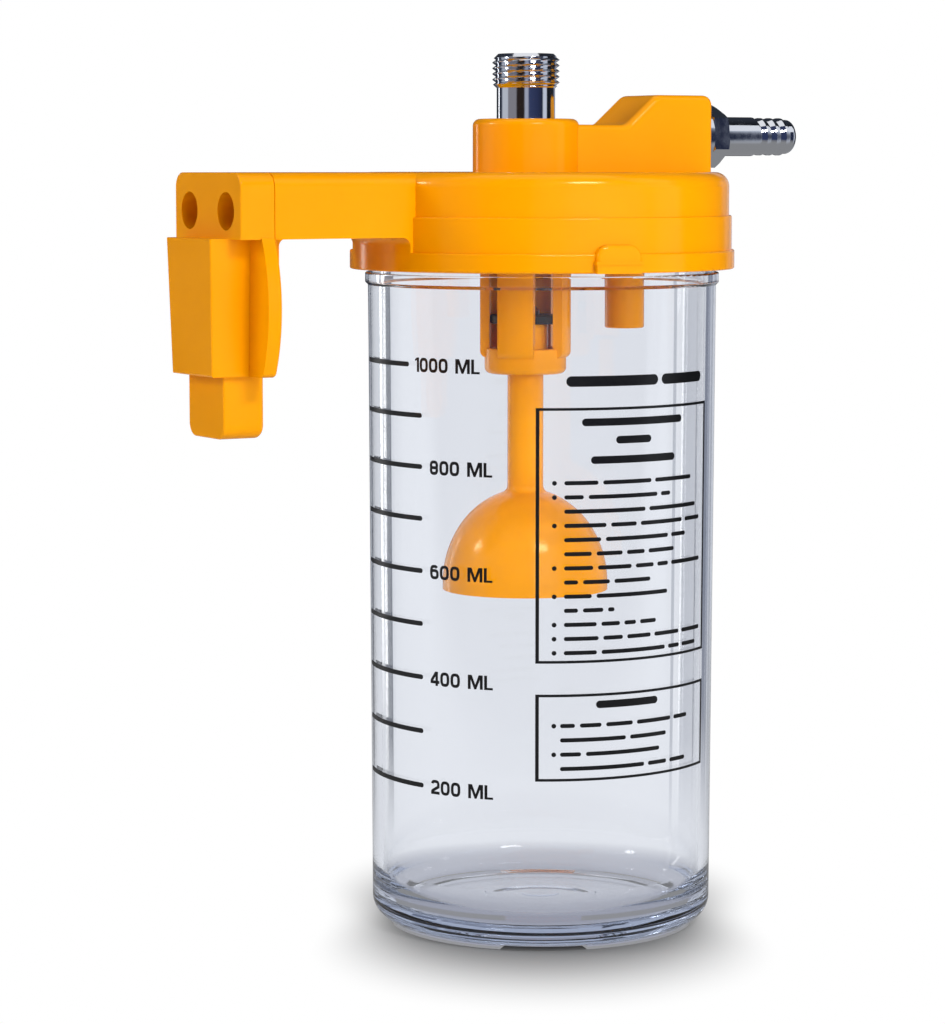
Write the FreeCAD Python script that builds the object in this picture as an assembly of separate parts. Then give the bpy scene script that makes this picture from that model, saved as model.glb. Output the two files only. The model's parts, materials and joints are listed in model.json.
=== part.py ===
import FreeCAD, Part
import math
import os
from FreeCAD import Vector

# A ward suction canister: clear screw-top jar, orange lid with arm and hanger, chrome fittings, float valve.
# The origin is on the jar's axis, in the plane that its feet stand on. +Z is up, the hose barb points to +X
# and the arm runs to -X. All lengths are in millimetres and all angles in degrees.

# Jar
JAR_R_HIGH = 49.75
JAR_TAPER = 0.85
JAR_Z_LOW = 10.0
JAR_Z_HIGH = 184.0
JAR_WALL = 3.0
JAR_FLOOR_Z = 5.0
JAR_UNDERSIDE_Z = 0.85
JAR_CORNER_R = 6.5
JAR_FLOOR_FILLET_R = 11.5
JAR_BEAD_PROUD = 0.8
JAR_BEAD_HEIGHT = 3.6
JAR_NECK_INSET = 0.45
JAR_NECK_HEIGHT = 25.9
JAR_RIM_ROUND = 0.8
GATE_RING_R = 15.9
GATE_DISC_R = 5.5
GATE_STEP = 0.5
FOOT_INSET = 4.6
FOOT_WIDTH = 4.8
FOOT_COUNT = 4
FOOT_NOTCH_DEG = 32.0
FOOT_NOTCH_AT_DEG = 240.0

# Screw thread of the jar and the lid: three starts, right-handed
THREAD_STARTS = 3
THREAD_LEAD = 24.0
THREAD_TURN_SHARE = 0.38
THREAD_RISE = 5.0
THREAD_ROOM = 1.7
THREAD_BASE_WIDTH = 3.4
THREAD_CREST_WIDTH = 1.8
THREAD_FLANK_CLEARANCE = 0.35
THREAD_CREST_CLEARANCE = 0.4
THREAD_ROOT_SINK = 0.5

# Lid: plate over the gasket, then three bands, each a little wider than the one above
LID_PLATE = 3.2
LID_SKIRT = 2.3
LID_BAND_STEP = 0.8
TOP_BAND_HEIGHT = 12.2
MID_BAND_HEIGHT = 9.7
FLANGE_HEIGHT = 5.4
LID_TOP_ROUND = 4.1
LID_STEP_ROUND = 0.5
LID_RING_WALL = 2.1
LID_RING_DEPTH = 8.0

# Gasket between the jar's rim and the lid
GASKET_THICKNESS = 2.6
GASKET_GAP = 0.2
GASKET_INNER_LAP = 1.1

# Grip bump on the lid's flange
BUMP_AT_DEG = 260.9
BUMP_WIDTH = 13.2
BUMP_PROUD = 1.4
BUMP_SINK = 2.9
BUMP_FOOT_HEIGHT = 2.4
BUMP_LEDGE_HEIGHT = 0.9
BUMP_LEDGE_PROUD = 0.4
BUMP_RISE = 2.4
BUMP_ROUND = 1.0
BUMP_CORNER_R = 3.6

# Boss, port and valve share one axis
PORT_X = -5.4
BOSS_R = 15.1
BOSS_HEIGHT = 15.0
BOSS_ROUND = 2.0

# Side block and its passages
BLOCK_HALF_WIDTH = 10.0
BLOCK_END_INSET = 1.2
BLOCK_SHELF_DROP = 1.6
BLOCK_STEP_HEIGHT = 8.6
BLOCK_TOP_LENGTH = 19.6
BLOCK_SLOPE_LENGTH = 10.1
BLOCK_BEND_R = 4.0
BLOCK_EDGE_ROUND = 1.8
BLOCK_CORNER_R = 2.8
BLOCK_CORE_BOSS_GAP = 2.8
BLOCK_CORE_STUB_GAP = 8.3
BLOCK_CORE_ROOF = 3.2
STUB_FROM_SLOPE = 4.2
STUB_R = 5.8
STUB_BORE_R = 3.8
STUB_DROP = 41.8
STUB_ROUND = 0.6
BARB_DROP = 11.7
PASSAGE_R = 3.5

# Vacuum port nipple
PORT_FACE_R = 7.9
PORT_THREAD_R = 9.525
PORT_NECK_R = 8.3
PORT_NECK_HEIGHT = 8.7
PORT_LOW_CHAMFER = 1.1
PORT_THREAD_LENGTH = 6.9
PORT_TOP_CHAMFER = 1.6
PORT_NECK_SINK = 1.0
PORT_MOUTH_R = 5.6
PORT_MOUTH_DEPTH = 16.2
PORT_BORE_R = 4.0
PORT_TAIL_R = 6.0
PORT_TAIL_DROP = 22.4
PORT_TAIL_CLEARANCE = 0.1
PORT_SEAT_LAND = 0.8
PORT_SEAT_DEPTH = 0.6
PORT_SEAL_THICKNESS = 2.0
PORT_SEAL_CLEARANCE = 0.15

# Clamp of port and cage
PORT_WASHER_R = 10.0
PORT_WASHER_THICKNESS = 1.0
PORT_NUT_ACROSS_FLATS = 18.0
PORT_NUT_THICKNESS = 6.0
PORT_NUT_CHAMFER = 0.7

# Float cage
CAGE_RIB_COUNT = 4
CAGE_RIB_AT_DEG = 45.0
CAGE_RIB_WIDTH = 10.3
CAGE_RIB_R_IN = 10.6
CAGE_RIB_THICKNESS = 2.4
CAGE_RIB_END_RISE = 4.5
CAGE_PLATE = 2.5
CAGE_DROP = 54.0
CAGE_CUP_INSET = 1.3
CAGE_CUP_HEIGHT = 7.3
CAGE_CUP_WALL = 2.4
CAGE_FLOOR = 2.9
CAGE_CUP_ROUND = 1.8
CAGE_CUP_EDGE = 0.6
CAGE_RIB_END_SHARE = 0.8
CAGE_STEM_CLEARANCE = 0.25

# Moving valve
VALVE_REST_GAP = 0.2
CARRIER_R = 6.4
CARRIER_HEIGHT = 11.2
CARRIER_ROUND = 0.5
DISC_INSET = 0.45
DISC_THICKNESS = 2.4
DISC_ROUND = 0.5
PIN_R = 2.0
PIN_HEIGHT = 22.6
PIN_SCREW_DEPTH = 8.0
PIN_FOOT_R = 4.0
PIN_FOOT_HEIGHT = 1.2
PIN_CONE_HEIGHT = 2.4
PIN_TIP_CHAMFER = 0.6

# Float
STEM_R = 5.15
STEM_SPIGOT_R = 3.5
STEM_SPIGOT_LENGTH = 2.8
STEM_CORE_R = 2.9
STEM_SOLID_LENGTH = 8.7
STEM_DROP = 60.1
DOME_R = 23.7
DOME_HEIGHT = 27.0
DOME_SKIRT = 1.8
DOME_WALL = 2.0
DOME_STEM_FILLET = 1.6

# Hose barb
BARB_WASHER_R = 8.8
BARB_WASHER_THICKNESS = 1.5
BARB_HEX_ACROSS_FLATS = 15.9
BARB_HEX_LENGTH = 5.6
BARB_HEX_CHAMFER = 0.9
BARB_HEX_TURN_DEG = -5.6
BARB_BARREL_R = 5.7
BARB_REACH = 33.5
BARB_TIP_R = 5.1
BARB_TIP_ROUND = 1.4
BARB_CREST_R = 5.5
BARB_ROOT_R = 4.95
BARB_RING_COUNT = 4
BARB_RING_PITCH = 3.4
BARB_RINGS_LENGTH = 13.7
BARB_RELIEF_LENGTH = 0.9
BARB_TAIL_R = 4.85
BARB_TAIL_CLEARANCE = 0.1
BARB_TAIL_LENGTH = 12.0
BARB_SEAL_WIDTH = 1.4
BARB_SEAL_DEPTH = 1.2
BARB_SEAL_CLEARANCE = 0.1

# Arm
ARM_REACH = 42.0
ARM_DEPTH = 17.8
ARM_HALF_WIDTH_LID = 16.7
ARM_HALF_WIDTH_END = 20.4
ARM_LAP = 3.3
ARM_ROOT_LENGTH = 10.0
ARM_EDGE_ROUND = 4.0
ARM_GUSSET_FILLET = 2.4
ARM_WALL = 3.2
ARM_RIB = 3.0
ARM_CROSS_WALL = 10.0
ARM_POCKET_LID_GAP = 4.2
LIP_THICKNESS = 4.3
LIP_HALF_WIDTH = 14.0
LIP_DROP = 10.1
LIP_FILLET = 2.0

# Hanger
HANGER_BLOCK_THICKNESS = 10.2
HANGER_SPIGOT_LENGTH = 10.0
HANGER_SPIGOT_SIDE_WALL = 3.6
HANGER_SPIGOT_FLOOR = 1.6
HANGER_SPIGOT_ROOF = 4.3
HANGER_SPIGOT_CLEARANCE = 0.2
HANGER_BOX_REACH = 16.1
HANGER_BOX_HALF_WIDTH = 13.8
HANGER_BOX_LAP = 0.2
HANGER_BOX_HEIGHT = 37.0
HANGER_BOX_DRAFT_END = 0.9
HANGER_BOX_DRAFT_SIDE = 1.2
HANGER_PLATE_HALF_WIDTH = 24.9
HANGER_PLATE_BULGE = 4.0
HANGER_PLATE_THICKNESS = 4.2
HANGER_PLATE_GAP = 0.1
HANGER_PLATE_CORNER_R = 2.0
HANGER_PLATE_EDGE = 0.8
TONGUE_REACH = 11.1
TONGUE_THICKNESS = 12.5
TONGUE_HALF_WIDTH = 10.9
TONGUE_DROP = 17.1
TONGUE_ROUND = 3.8
TONGUE_SIDE_ROUND = 1.8
HANGER_BREAK = 0.5

# Hanger screws, M5
SCREW_SIDE_GAP = 5.5
SCREW_RISE = 7.5
SCREW_R = 2.5
SCREW_HEAD_R = 4.25
SCREW_HEAD_HEIGHT = 5.0
SCREW_SOCKET_ACROSS_FLATS = 4.0
SCREW_SOCKET_DEPTH = 2.6
SCREW_HEAD_ROUND = 0.4
SCREW_TIP_ROUND = 0.5
SCREW_HOLE_CLEARANCE = 0.15
SCREW_INSERT_GRIP = 8.0
COUNTERBORE_CLEARANCE = 0.85
COUNTERBORE_DEPTH = 14.0
SCREW_WASHER_CLEARANCE = 0.2
SCREW_WASHER_THICKNESS = 1.0
INSERT_WALL = 1.0
INSERT_LENGTH = 9.0
INSERT_BORE_CLEARANCE = 0.05

# Overlap that lets two shapes of one moulding fuse, and overrun that lets a cut leave cleanly
FUSE = 0.4
OVERRUN = 1.0

# Jar and lid, worked out from the values above
JAR_R_LOW = JAR_R_HIGH - JAR_TAPER
JAR_NECK_R = JAR_R_HIGH - JAR_NECK_INSET
JAR_BORE_R = JAR_R_HIGH - JAR_WALL
JAR_BEAD_R = JAR_R_HIGH + JAR_BEAD_PROUD
JAR_RIM_Z = JAR_Z_HIGH + JAR_NECK_HEIGHT
FOOT_R_OUT = JAR_R_LOW - FOOT_INSET
FOOT_R_IN = FOOT_R_OUT - FOOT_WIDTH
LID_BORE_R = JAR_NECK_R + THREAD_ROOM
TOP_BAND_R = LID_BORE_R + LID_SKIRT
MID_BAND_R = TOP_BAND_R + LID_BAND_STEP
FLANGE_R = MID_BAND_R + LID_BAND_STEP
LID_UNDERSIDE_Z = JAR_RIM_Z + GASKET_GAP + GASKET_THICKNESS
LID_TOP_Z = LID_UNDERSIDE_Z + LID_PLATE
MID_BAND_TOP_Z = LID_TOP_Z - TOP_BAND_HEIGHT
FLANGE_TOP_Z = MID_BAND_TOP_Z - MID_BAND_HEIGHT
LID_BOTTOM_Z = FLANGE_TOP_Z - FLANGE_HEIGHT
THREAD_BOTTOM_Z = LID_BOTTOM_Z + THREAD_RISE
GASKET_R_IN = JAR_BORE_R - GASKET_INNER_LAP
GASKET_R_OUT = LID_BORE_R - GASKET_GAP
BUMP_LEDGE_Z = LID_BOTTOM_Z + BUMP_FOOT_HEIGHT
BUMP_TOP_Z = FLANGE_TOP_Z + BUMP_RISE

# Boss, side block, port and barb
BOSS_TOP_Z = LID_TOP_Z + BOSS_HEIGHT
BLOCK_SHELF_Z = BOSS_TOP_Z - BLOCK_SHELF_DROP
BLOCK_TOP_Z = BLOCK_SHELF_Z + BLOCK_STEP_HEIGHT
BLOCK_END_X = TOP_BAND_R - BLOCK_END_INSET
BLOCK_SLOPE_X1 = BLOCK_END_X - BLOCK_TOP_LENGTH
BLOCK_SLOPE_X0 = BLOCK_SLOPE_X1 - BLOCK_SLOPE_LENGTH
STUB_X = BLOCK_SLOPE_X1 - STUB_FROM_SLOPE
STUB_BOTTOM_Z = LID_UNDERSIDE_Z - STUB_DROP
BLOCK_CORE_X0 = PORT_X + BOSS_R + BLOCK_CORE_BOSS_GAP
BLOCK_CORE_X1 = STUB_X - BLOCK_CORE_STUB_GAP
PORT_CHAMFER_BOTTOM_Z = BOSS_TOP_Z + PORT_NECK_HEIGHT
PORT_THREAD_BOTTOM_Z = PORT_CHAMFER_BOTTOM_Z + PORT_LOW_CHAMFER
PORT_THREAD_TOP_Z = PORT_THREAD_BOTTOM_Z + PORT_THREAD_LENGTH
PORT_TOP_Z = PORT_THREAD_TOP_Z + PORT_TOP_CHAMFER
PORT_MOUTH_BOTTOM_Z = PORT_TOP_Z - PORT_MOUTH_DEPTH
PORT_SEAT_Z = LID_UNDERSIDE_Z - PORT_TAIL_DROP
BARB_Z = BLOCK_TOP_Z - BARB_DROP
BARB_HEX_X = BLOCK_END_X + BARB_WASHER_THICKNESS
BARB_TIP_X = BLOCK_END_X + BARB_REACH
BARB_FIRST_RING_X = BARB_TIP_X - BARB_RINGS_LENGTH

# Cage, valve and float
CAGE_PLATE_Z = LID_UNDERSIDE_Z - CAGE_PLATE
CAGE_CUP_BOTTOM_Z = LID_UNDERSIDE_Z - CAGE_DROP
CAGE_CUP_TOP_Z = CAGE_CUP_BOTTOM_Z + CAGE_CUP_HEIGHT
CAGE_FLOOR_Z = CAGE_CUP_BOTTOM_Z + CAGE_FLOOR
CAGE_RIB_BOTTOM_Z = CAGE_CUP_BOTTOM_Z + CAGE_RIB_END_RISE
CAGE_RIB_R_OUT = CAGE_RIB_R_IN + CAGE_RIB_THICKNESS
CAGE_CUP_R = CAGE_RIB_R_OUT - CAGE_CUP_INSET
CAGE_CUP_BORE_R = CAGE_CUP_R - CAGE_CUP_WALL
DISC_R = CAGE_RIB_R_IN - DISC_INSET
CARRIER_BOTTOM_Z = CAGE_FLOOR_Z + VALVE_REST_GAP
DISC_BOTTOM_Z = CARRIER_BOTTOM_Z + CARRIER_HEIGHT
DISC_TOP_Z = DISC_BOTTOM_Z + DISC_THICKNESS
PIN_TOP_Z = DISC_TOP_Z + PIN_HEIGHT
STEM_CORE_TOP_Z = CAGE_CUP_BOTTOM_Z - STEM_SOLID_LENGTH
DOME_EQUATOR_Z = CAGE_CUP_BOTTOM_Z - STEM_DROP
DOME_BOTTOM_Z = DOME_EQUATOR_Z - DOME_SKIRT

# Arm, hanger and screws
ARM_END_X = -(TOP_BAND_R + ARM_REACH)
ARM_LID_X = -(TOP_BAND_R - ARM_LAP)
ARM_ROOT_X = ARM_LID_X + ARM_ROOT_LENGTH
ARM_POCKET_END_X = -(TOP_BAND_R + ARM_POCKET_LID_GAP)
ARM_BOTTOM_Z = LID_TOP_Z - ARM_DEPTH
LIP_BOTTOM_Z = ARM_BOTTOM_Z - LIP_DROP
ARM_SOCKET_X = ARM_END_X + HANGER_SPIGOT_LENGTH + HANGER_SPIGOT_CLEARANCE
ARM_CROSS_END_X = ARM_SOCKET_X + ARM_CROSS_WALL
HANGER_FACE_X = ARM_END_X - HANGER_BLOCK_THICKNESS
HANGER_SPIGOT_HALF_WIDTH = ARM_HALF_WIDTH_END - HANGER_SPIGOT_SIDE_WALL
HANGER_SPIGOT_BOTTOM_Z = ARM_BOTTOM_Z + HANGER_SPIGOT_FLOOR
HANGER_SPIGOT_TOP_Z = LID_TOP_Z - HANGER_SPIGOT_ROOF
HANGER_BOX_END_X = ARM_END_X - HANGER_BOX_REACH
HANGER_BOX_TOP_Z = ARM_BOTTOM_Z + HANGER_BOX_LAP
HANGER_BOX_BOTTOM_Z = HANGER_BOX_TOP_Z - HANGER_BOX_HEIGHT
HANGER_PLATE_END_HALF_WIDTH = HANGER_PLATE_HALF_WIDTH - HANGER_PLATE_BULGE
HANGER_PLATE_X1 = ARM_END_X - HANGER_PLATE_GAP
HANGER_PLATE_X0 = HANGER_PLATE_X1 - HANGER_PLATE_THICKNESS
TONGUE_X0 = ARM_END_X - TONGUE_REACH
TONGUE_X1 = TONGUE_X0 + TONGUE_THICKNESS
TONGUE_BOTTOM_Z = HANGER_BOX_BOTTOM_Z - TONGUE_DROP
SCREW_Y = HANGER_SPIGOT_HALF_WIDTH - SCREW_SIDE_GAP
SCREW_Z = ARM_BOTTOM_Z + SCREW_RISE
SCREW_HOLE_R = SCREW_R + SCREW_HOLE_CLEARANCE
COUNTERBORE_R = SCREW_HEAD_R + COUNTERBORE_CLEARANCE
COUNTERBORE_X = HANGER_FACE_X + COUNTERBORE_DEPTH
SCREW_WASHER_R = COUNTERBORE_R - SCREW_WASHER_CLEARANCE
INSERT_R = SCREW_R + INSERT_WALL


def flat_point(plane, a, b):
    """Put the pair (a, b) into the named plane: XY, XZ or YZ."""
    if plane == "XY":
        return Vector(a, b, 0)
    if plane == "XZ":
        return Vector(a, 0, b)
    return Vector(0, a, b)


def outline(points, plane):
    """Closed wire through (a, b) corners; a corner with a third value is rounded to that radius by an arc."""
    count = len(points)
    starts = []
    ends = []
    arcs = []
    for index, point in enumerate(points):
        here = flat_point(plane, point[0], point[1])
        if len(point) < 3 or point[2] <= 0:
            starts.append(here)
            ends.append(here)
            arcs.append(None)
            continue
        before = flat_point(plane, *points[index - 1][:2])
        after = flat_point(plane, *points[(index + 1) % count][:2])
        back = (before - here).normalize()
        ahead = (after - here).normalize()
        half = back.getAngle(ahead) / 2
        reach = point[2] / math.tan(half)
        middle = (back + ahead).normalize()
        centre = here + middle * (point[2] / math.sin(half))
        first = here + back * reach
        last = here + ahead * reach
        starts.append(first)
        ends.append(last)
        arcs.append(Part.Arc(first, centre - middle * point[2], last).toShape())
    edges = []
    for index in range(count):
        if arcs[index]:
            edges.append(arcs[index])
        a = ends[index]
        b = starts[(index + 1) % count]
        if a.distanceToPoint(b) > 1e-6:
            edges.append(Part.LineSegment(a, b).toShape())
    return Part.Wire(edges)


def turned(points, x=0.0):
    """Solid of revolution about the upright axis at x, from an outline of (radius, height) corners."""
    solid = Part.Face(outline(points, "XZ")).revolve(Vector(0, 0, 0), Vector(0, 0, 1), 360)
    solid.translate(Vector(x, 0, 0))
    return solid


def turned_along_x(points, y, z):
    """Solid of revolution about an axis along X through (y, z), from an outline of (x, radius) corners."""
    solid = Part.Face(outline(points, "XZ")).revolve(Vector(0, 0, 0), Vector(1, 0, 0), 360)
    solid.translate(Vector(0, y, z))
    return solid


def extruded(points, plane, low, high):
    """Straight solid on the outline, from low to high along the axis that the plane leaves out."""
    along = {"XY": Vector(0, 0, 1), "XZ": Vector(0, 1, 0), "YZ": Vector(1, 0, 0)}[plane]
    face = Part.Face(outline(points, plane))
    face.translate(along * low)
    return face.extrude(along * (high - low))


def block(x0, x1, y0, y1, z0, z1):
    """Box between two corners."""
    return Part.makeBox(x1 - x0, y1 - y0, z1 - z0, Vector(x0, y0, z0))


def rod(radius, x, y, z0, z1):
    """Upright cylinder from z0 to z1."""
    return Part.makeCylinder(radius, z1 - z0, Vector(x, y, z0))


def rod_along_x(radius, y, z, x0, x1):
    """Cylinder along X from x0 to x1."""
    return Part.makeCylinder(radius, x1 - x0, Vector(x0, y, z), Vector(1, 0, 0))


def sector(r0, r1, z0, z1, middle_deg, width_deg):
    """Part of a ring, width_deg wide about the direction middle_deg."""
    face = Part.Face(outline([(r0, z0), (r1, z0), (r1, z1), (r0, z1)], "XZ"))
    solid = face.revolve(Vector(0, 0, 0), Vector(0, 0, 1), width_deg)
    solid.rotate(Vector(0, 0, 0), Vector(0, 0, 1), middle_deg - width_deg / 2)
    return solid


def hexagon(across_flats, turn_deg):
    """Corners of a hexagon about the origin; at turn 0 a flat faces along the first axis."""
    corner_r = across_flats / math.sqrt(3)
    angles = [math.radians(30 + 60 * step + turn_deg) for step in range(6)]
    return [(corner_r * math.cos(angle), corner_r * math.sin(angle)) for angle in angles]


def rounded(shape, radius, wanted):
    """Round those edges of the shape whose two end points and centre all pass the test."""
    edges = []
    for edge in shape.Edges:
        points = [vertex.Point for vertex in edge.Vertexes] + [edge.CenterOfMass]
        if all(wanted(point) for point in points):
            edges.append(edge)
    return shape.makeFillet(radius, edges)


def thread_ridges(r_root, r_crest, z_start):
    """One trapezoid ridge per start, each swept along a right-handed helix and set evenly round the axis."""
    climb = THREAD_LEAD * THREAD_TURN_SHARE
    path = Part.Wire(Part.makeLongHelix(THREAD_LEAD, climb, min(r_root, r_crest)).Edges)
    near = THREAD_BASE_WIDTH / 2
    far = THREAD_CREST_WIDTH / 2
    sink = THREAD_ROOT_SINK if r_root < r_crest else -THREAD_ROOT_SINK
    grow = (near - far) / abs(r_crest - r_root) * THREAD_ROOT_SINK
    corners = [
        Vector(r_root - sink, 0, -near - grow),
        Vector(r_crest, 0, -far),
        Vector(r_crest, 0, far),
        Vector(r_root - sink, 0, near + grow),
    ]
    sweep = Part.BRepOffsetAPI.MakePipeShell(path)
    sweep.setFrenetMode(True)
    sweep.add(Part.makePolygon(corners + corners[:1]))
    sweep.build()
    sweep.makeSolid()
    ridge = sweep.shape()
    if ridge.Volume < 0:
        ridge.reverse()
    ridge.translate(Vector(0, 0, z_start))
    ridges = []
    for start in range(THREAD_STARTS):
        copy = ridge.copy()
        copy.rotate(Vector(0, 0, 0), Vector(0, 0, 1), 360 * start / THREAD_STARTS)
        ridges.append(copy)
    return ridges


def jar_radius(z):
    """Outer radius of the jar's slightly tapered wall at height z."""
    slope = (JAR_R_HIGH - JAR_R_LOW) / (JAR_Z_HIGH - JAR_Z_LOW)
    return JAR_R_LOW + slope * (z - JAR_Z_LOW)


def jar():
    """Clear jar: tapered wall, shoulder bead, screwed neck, floor with gate rings, foot ring in pads."""
    bead_top = JAR_Z_HIGH + JAR_BEAD_HEIGHT
    bead_round = JAR_BEAD_PROUD * 0.6
    outside = turned([
        (0, JAR_UNDERSIDE_Z),
        (jar_radius(JAR_UNDERSIDE_Z), JAR_UNDERSIDE_Z, JAR_CORNER_R),
        (JAR_R_HIGH, JAR_Z_HIGH),
        (JAR_BEAD_R, JAR_Z_HIGH + JAR_BEAD_PROUD, bead_round),
        (JAR_BEAD_R, bead_top, bead_round),
        (JAR_NECK_R, bead_top),
        (JAR_NECK_R, JAR_RIM_Z, JAR_RIM_ROUND),
        (0, JAR_RIM_Z),
    ])
    inside = turned([
        (0, JAR_FLOOR_Z + GATE_STEP),
        (GATE_DISC_R, JAR_FLOOR_Z + GATE_STEP),
        (GATE_DISC_R, JAR_FLOOR_Z),
        (GATE_RING_R, JAR_FLOOR_Z),
        (GATE_RING_R + GATE_STEP, JAR_FLOOR_Z + GATE_STEP),
        (jar_radius(JAR_FLOOR_Z) - JAR_WALL, JAR_FLOOR_Z + GATE_STEP, JAR_FLOOR_FILLET_R),
        (JAR_BORE_R, JAR_Z_HIGH),
        (JAR_BORE_R, JAR_RIM_Z + OVERRUN),
        (0, JAR_RIM_Z + OVERRUN),
    ])
    solid = outside.cut(inside)
    foot_deg = 360 / FOOT_COUNT - FOOT_NOTCH_DEG
    first_foot = FOOT_NOTCH_AT_DEG + 180 / FOOT_COUNT
    pieces = []
    for index in range(FOOT_COUNT):
        middle = first_foot + index * 360 / FOOT_COUNT
        pieces.append(sector(FOOT_R_IN, FOOT_R_OUT, 0, JAR_UNDERSIDE_Z + FUSE, middle, foot_deg))
    pieces += thread_ridges(JAR_NECK_R, LID_BORE_R - THREAD_CREST_CLEARANCE, THREAD_BOTTOM_Z)
    return solid.fuse(pieces)


def lid_shell():
    """Stepped outside of the lid as one filled turned block, hollowed later."""
    return turned([
        (0, LID_BOTTOM_Z),
        (FLANGE_R, LID_BOTTOM_Z, LID_STEP_ROUND),
        (FLANGE_R, FLANGE_TOP_Z, LID_STEP_ROUND),
        (MID_BAND_R, FLANGE_TOP_Z),
        (MID_BAND_R, MID_BAND_TOP_Z, LID_STEP_ROUND),
        (TOP_BAND_R, MID_BAND_TOP_Z),
        (TOP_BAND_R, LID_TOP_Z, LID_TOP_ROUND),
        (0, LID_TOP_Z),
    ])


def arm():
    """Arm before it is hollowed: tapered in plan, rounded on top, a gusset at the lid, a lip at its end."""
    def plan(low, high):
        return extruded([
            (ARM_END_X, -ARM_HALF_WIDTH_END),
            (ARM_LID_X, -ARM_HALF_WIDTH_LID),
            (ARM_ROOT_X, -ARM_HALF_WIDTH_LID),
            (ARM_ROOT_X, ARM_HALF_WIDTH_LID),
            (ARM_LID_X, ARM_HALF_WIDTH_LID),
            (ARM_END_X, ARM_HALF_WIDTH_END),
        ], "XY", low, high)

    beam = rounded(
        plan(ARM_BOTTOM_Z, LID_TOP_Z), ARM_EDGE_ROUND,
        lambda p: p.z > LID_TOP_Z - 0.01 and abs(p.y) > ARM_HALF_WIDTH_LID - 0.01 and p.x < ARM_ROOT_X - 0.01)
    reach = FLANGE_R + 2 * ARM_GUSSET_FILLET
    gusset = turned([
        (MID_BAND_R - FUSE, FLANGE_TOP_Z - FUSE),
        (FLANGE_R, FLANGE_TOP_Z - FUSE),
        (FLANGE_R, ARM_BOTTOM_Z, ARM_GUSSET_FILLET),
        (reach, ARM_BOTTOM_Z),
        (reach, ARM_BOTTOM_Z + FUSE),
        (MID_BAND_R - FUSE, ARM_BOTTOM_Z + FUSE),
    ]).common(plan(LIP_BOTTOM_Z, LID_TOP_Z))
    lip_x = ARM_END_X + LIP_THICKNESS
    lip = extruded([
        (ARM_END_X, LIP_BOTTOM_Z),
        (lip_x, LIP_BOTTOM_Z, LIP_FILLET),
        (lip_x, ARM_BOTTOM_Z, LIP_FILLET),
        (lip_x + 2 * LIP_FILLET, ARM_BOTTOM_Z),
        (lip_x + 2 * LIP_FILLET, ARM_BOTTOM_Z + FUSE),
        (ARM_END_X, ARM_BOTTOM_Z + FUSE),
    ], "XZ", -LIP_HALF_WIDTH, LIP_HALF_WIDTH)
    return beam.fuse([gusset, lip])


def arm_hollows():
    """End socket for the hanger's spigot, insert holes, and two pockets open underneath beside a rib."""
    clear = HANGER_SPIGOT_CLEARANCE
    hollows = [block(
        ARM_END_X - OVERRUN, ARM_SOCKET_X,
        -HANGER_SPIGOT_HALF_WIDTH - clear, HANGER_SPIGOT_HALF_WIDTH + clear,
        HANGER_SPIGOT_BOTTOM_Z - clear, HANGER_SPIGOT_TOP_Z + clear,
    )]
    for side in (-1, 1):
        hollows.append(rod_along_x(INSERT_R, side * SCREW_Y, SCREW_Z, ARM_SOCKET_X - clear,
                                   ARM_SOCKET_X + INSERT_LENGTH))
        near = ARM_RIB / 2
        far = ARM_HALF_WIDTH_LID - ARM_WALL
        hollows.append(block(
            ARM_CROSS_END_X, ARM_POCKET_END_X,
            min(side * near, side * far), max(side * near, side * far),
            ARM_BOTTOM_Z - OVERRUN, LID_TOP_Z - ARM_WALL,
        ))
    return hollows


def side_block():
    """Raised block from the boss to the barb: shelf, slope and top; its foot runs into the lid's round."""
    foot_z = LID_TOP_Z - LID_TOP_ROUND
    solid = extruded([
        (PORT_X, foot_z),
        (BLOCK_END_X, foot_z),
        (BLOCK_END_X, BLOCK_TOP_Z, BLOCK_CORNER_R),
        (BLOCK_SLOPE_X1, BLOCK_TOP_Z, BLOCK_BEND_R),
        (BLOCK_SLOPE_X0, BLOCK_SHELF_Z, BLOCK_BEND_R),
        (PORT_X, BLOCK_SHELF_Z),
    ], "XZ", -BLOCK_HALF_WIDTH, BLOCK_HALF_WIDTH)
    top = BLOCK_SHELF_Z - 0.01
    return rounded(solid, BLOCK_EDGE_ROUND, lambda p: abs(p.y) > BLOCK_HALF_WIDTH - 0.01 and (
        p.z > top or p.x > BLOCK_END_X - 0.01))


def flange_bump():
    """Grip bump on the flange: plain foot, thin ledge and a domed top."""
    half = BUMP_WIDTH / 2
    inner = MID_BAND_R - BUMP_SINK + LID_BAND_STEP
    outer = FLANGE_R + BUMP_PROUD
    ledge_top = BUMP_LEDGE_Z + BUMP_LEDGE_HEIGHT
    foot = block(inner, outer, -half, half, LID_BOTTOM_Z, BUMP_LEDGE_Z)
    ledge = block(inner, outer + BUMP_LEDGE_PROUD, -half - BUMP_LEDGE_PROUD, half + BUMP_LEDGE_PROUD,
                  BUMP_LEDGE_Z, ledge_top)
    rise = BUMP_TOP_Z - ledge_top
    dome = extruded([
        (-half, ledge_top),
        (half, ledge_top),
        (half, ledge_top + rise, BUMP_CORNER_R),
        (-half, ledge_top + rise, BUMP_CORNER_R),
    ], "YZ", inner, outer)
    dome = rounded(dome, BUMP_ROUND, lambda p: p.x > outer - 0.01 and p.z > ledge_top + 0.01)
    bump = foot.fuse([ledge, dome])
    bump.rotate(Vector(0, 0, 0), Vector(0, 0, 1), BUMP_AT_DEG)
    return bump


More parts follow.
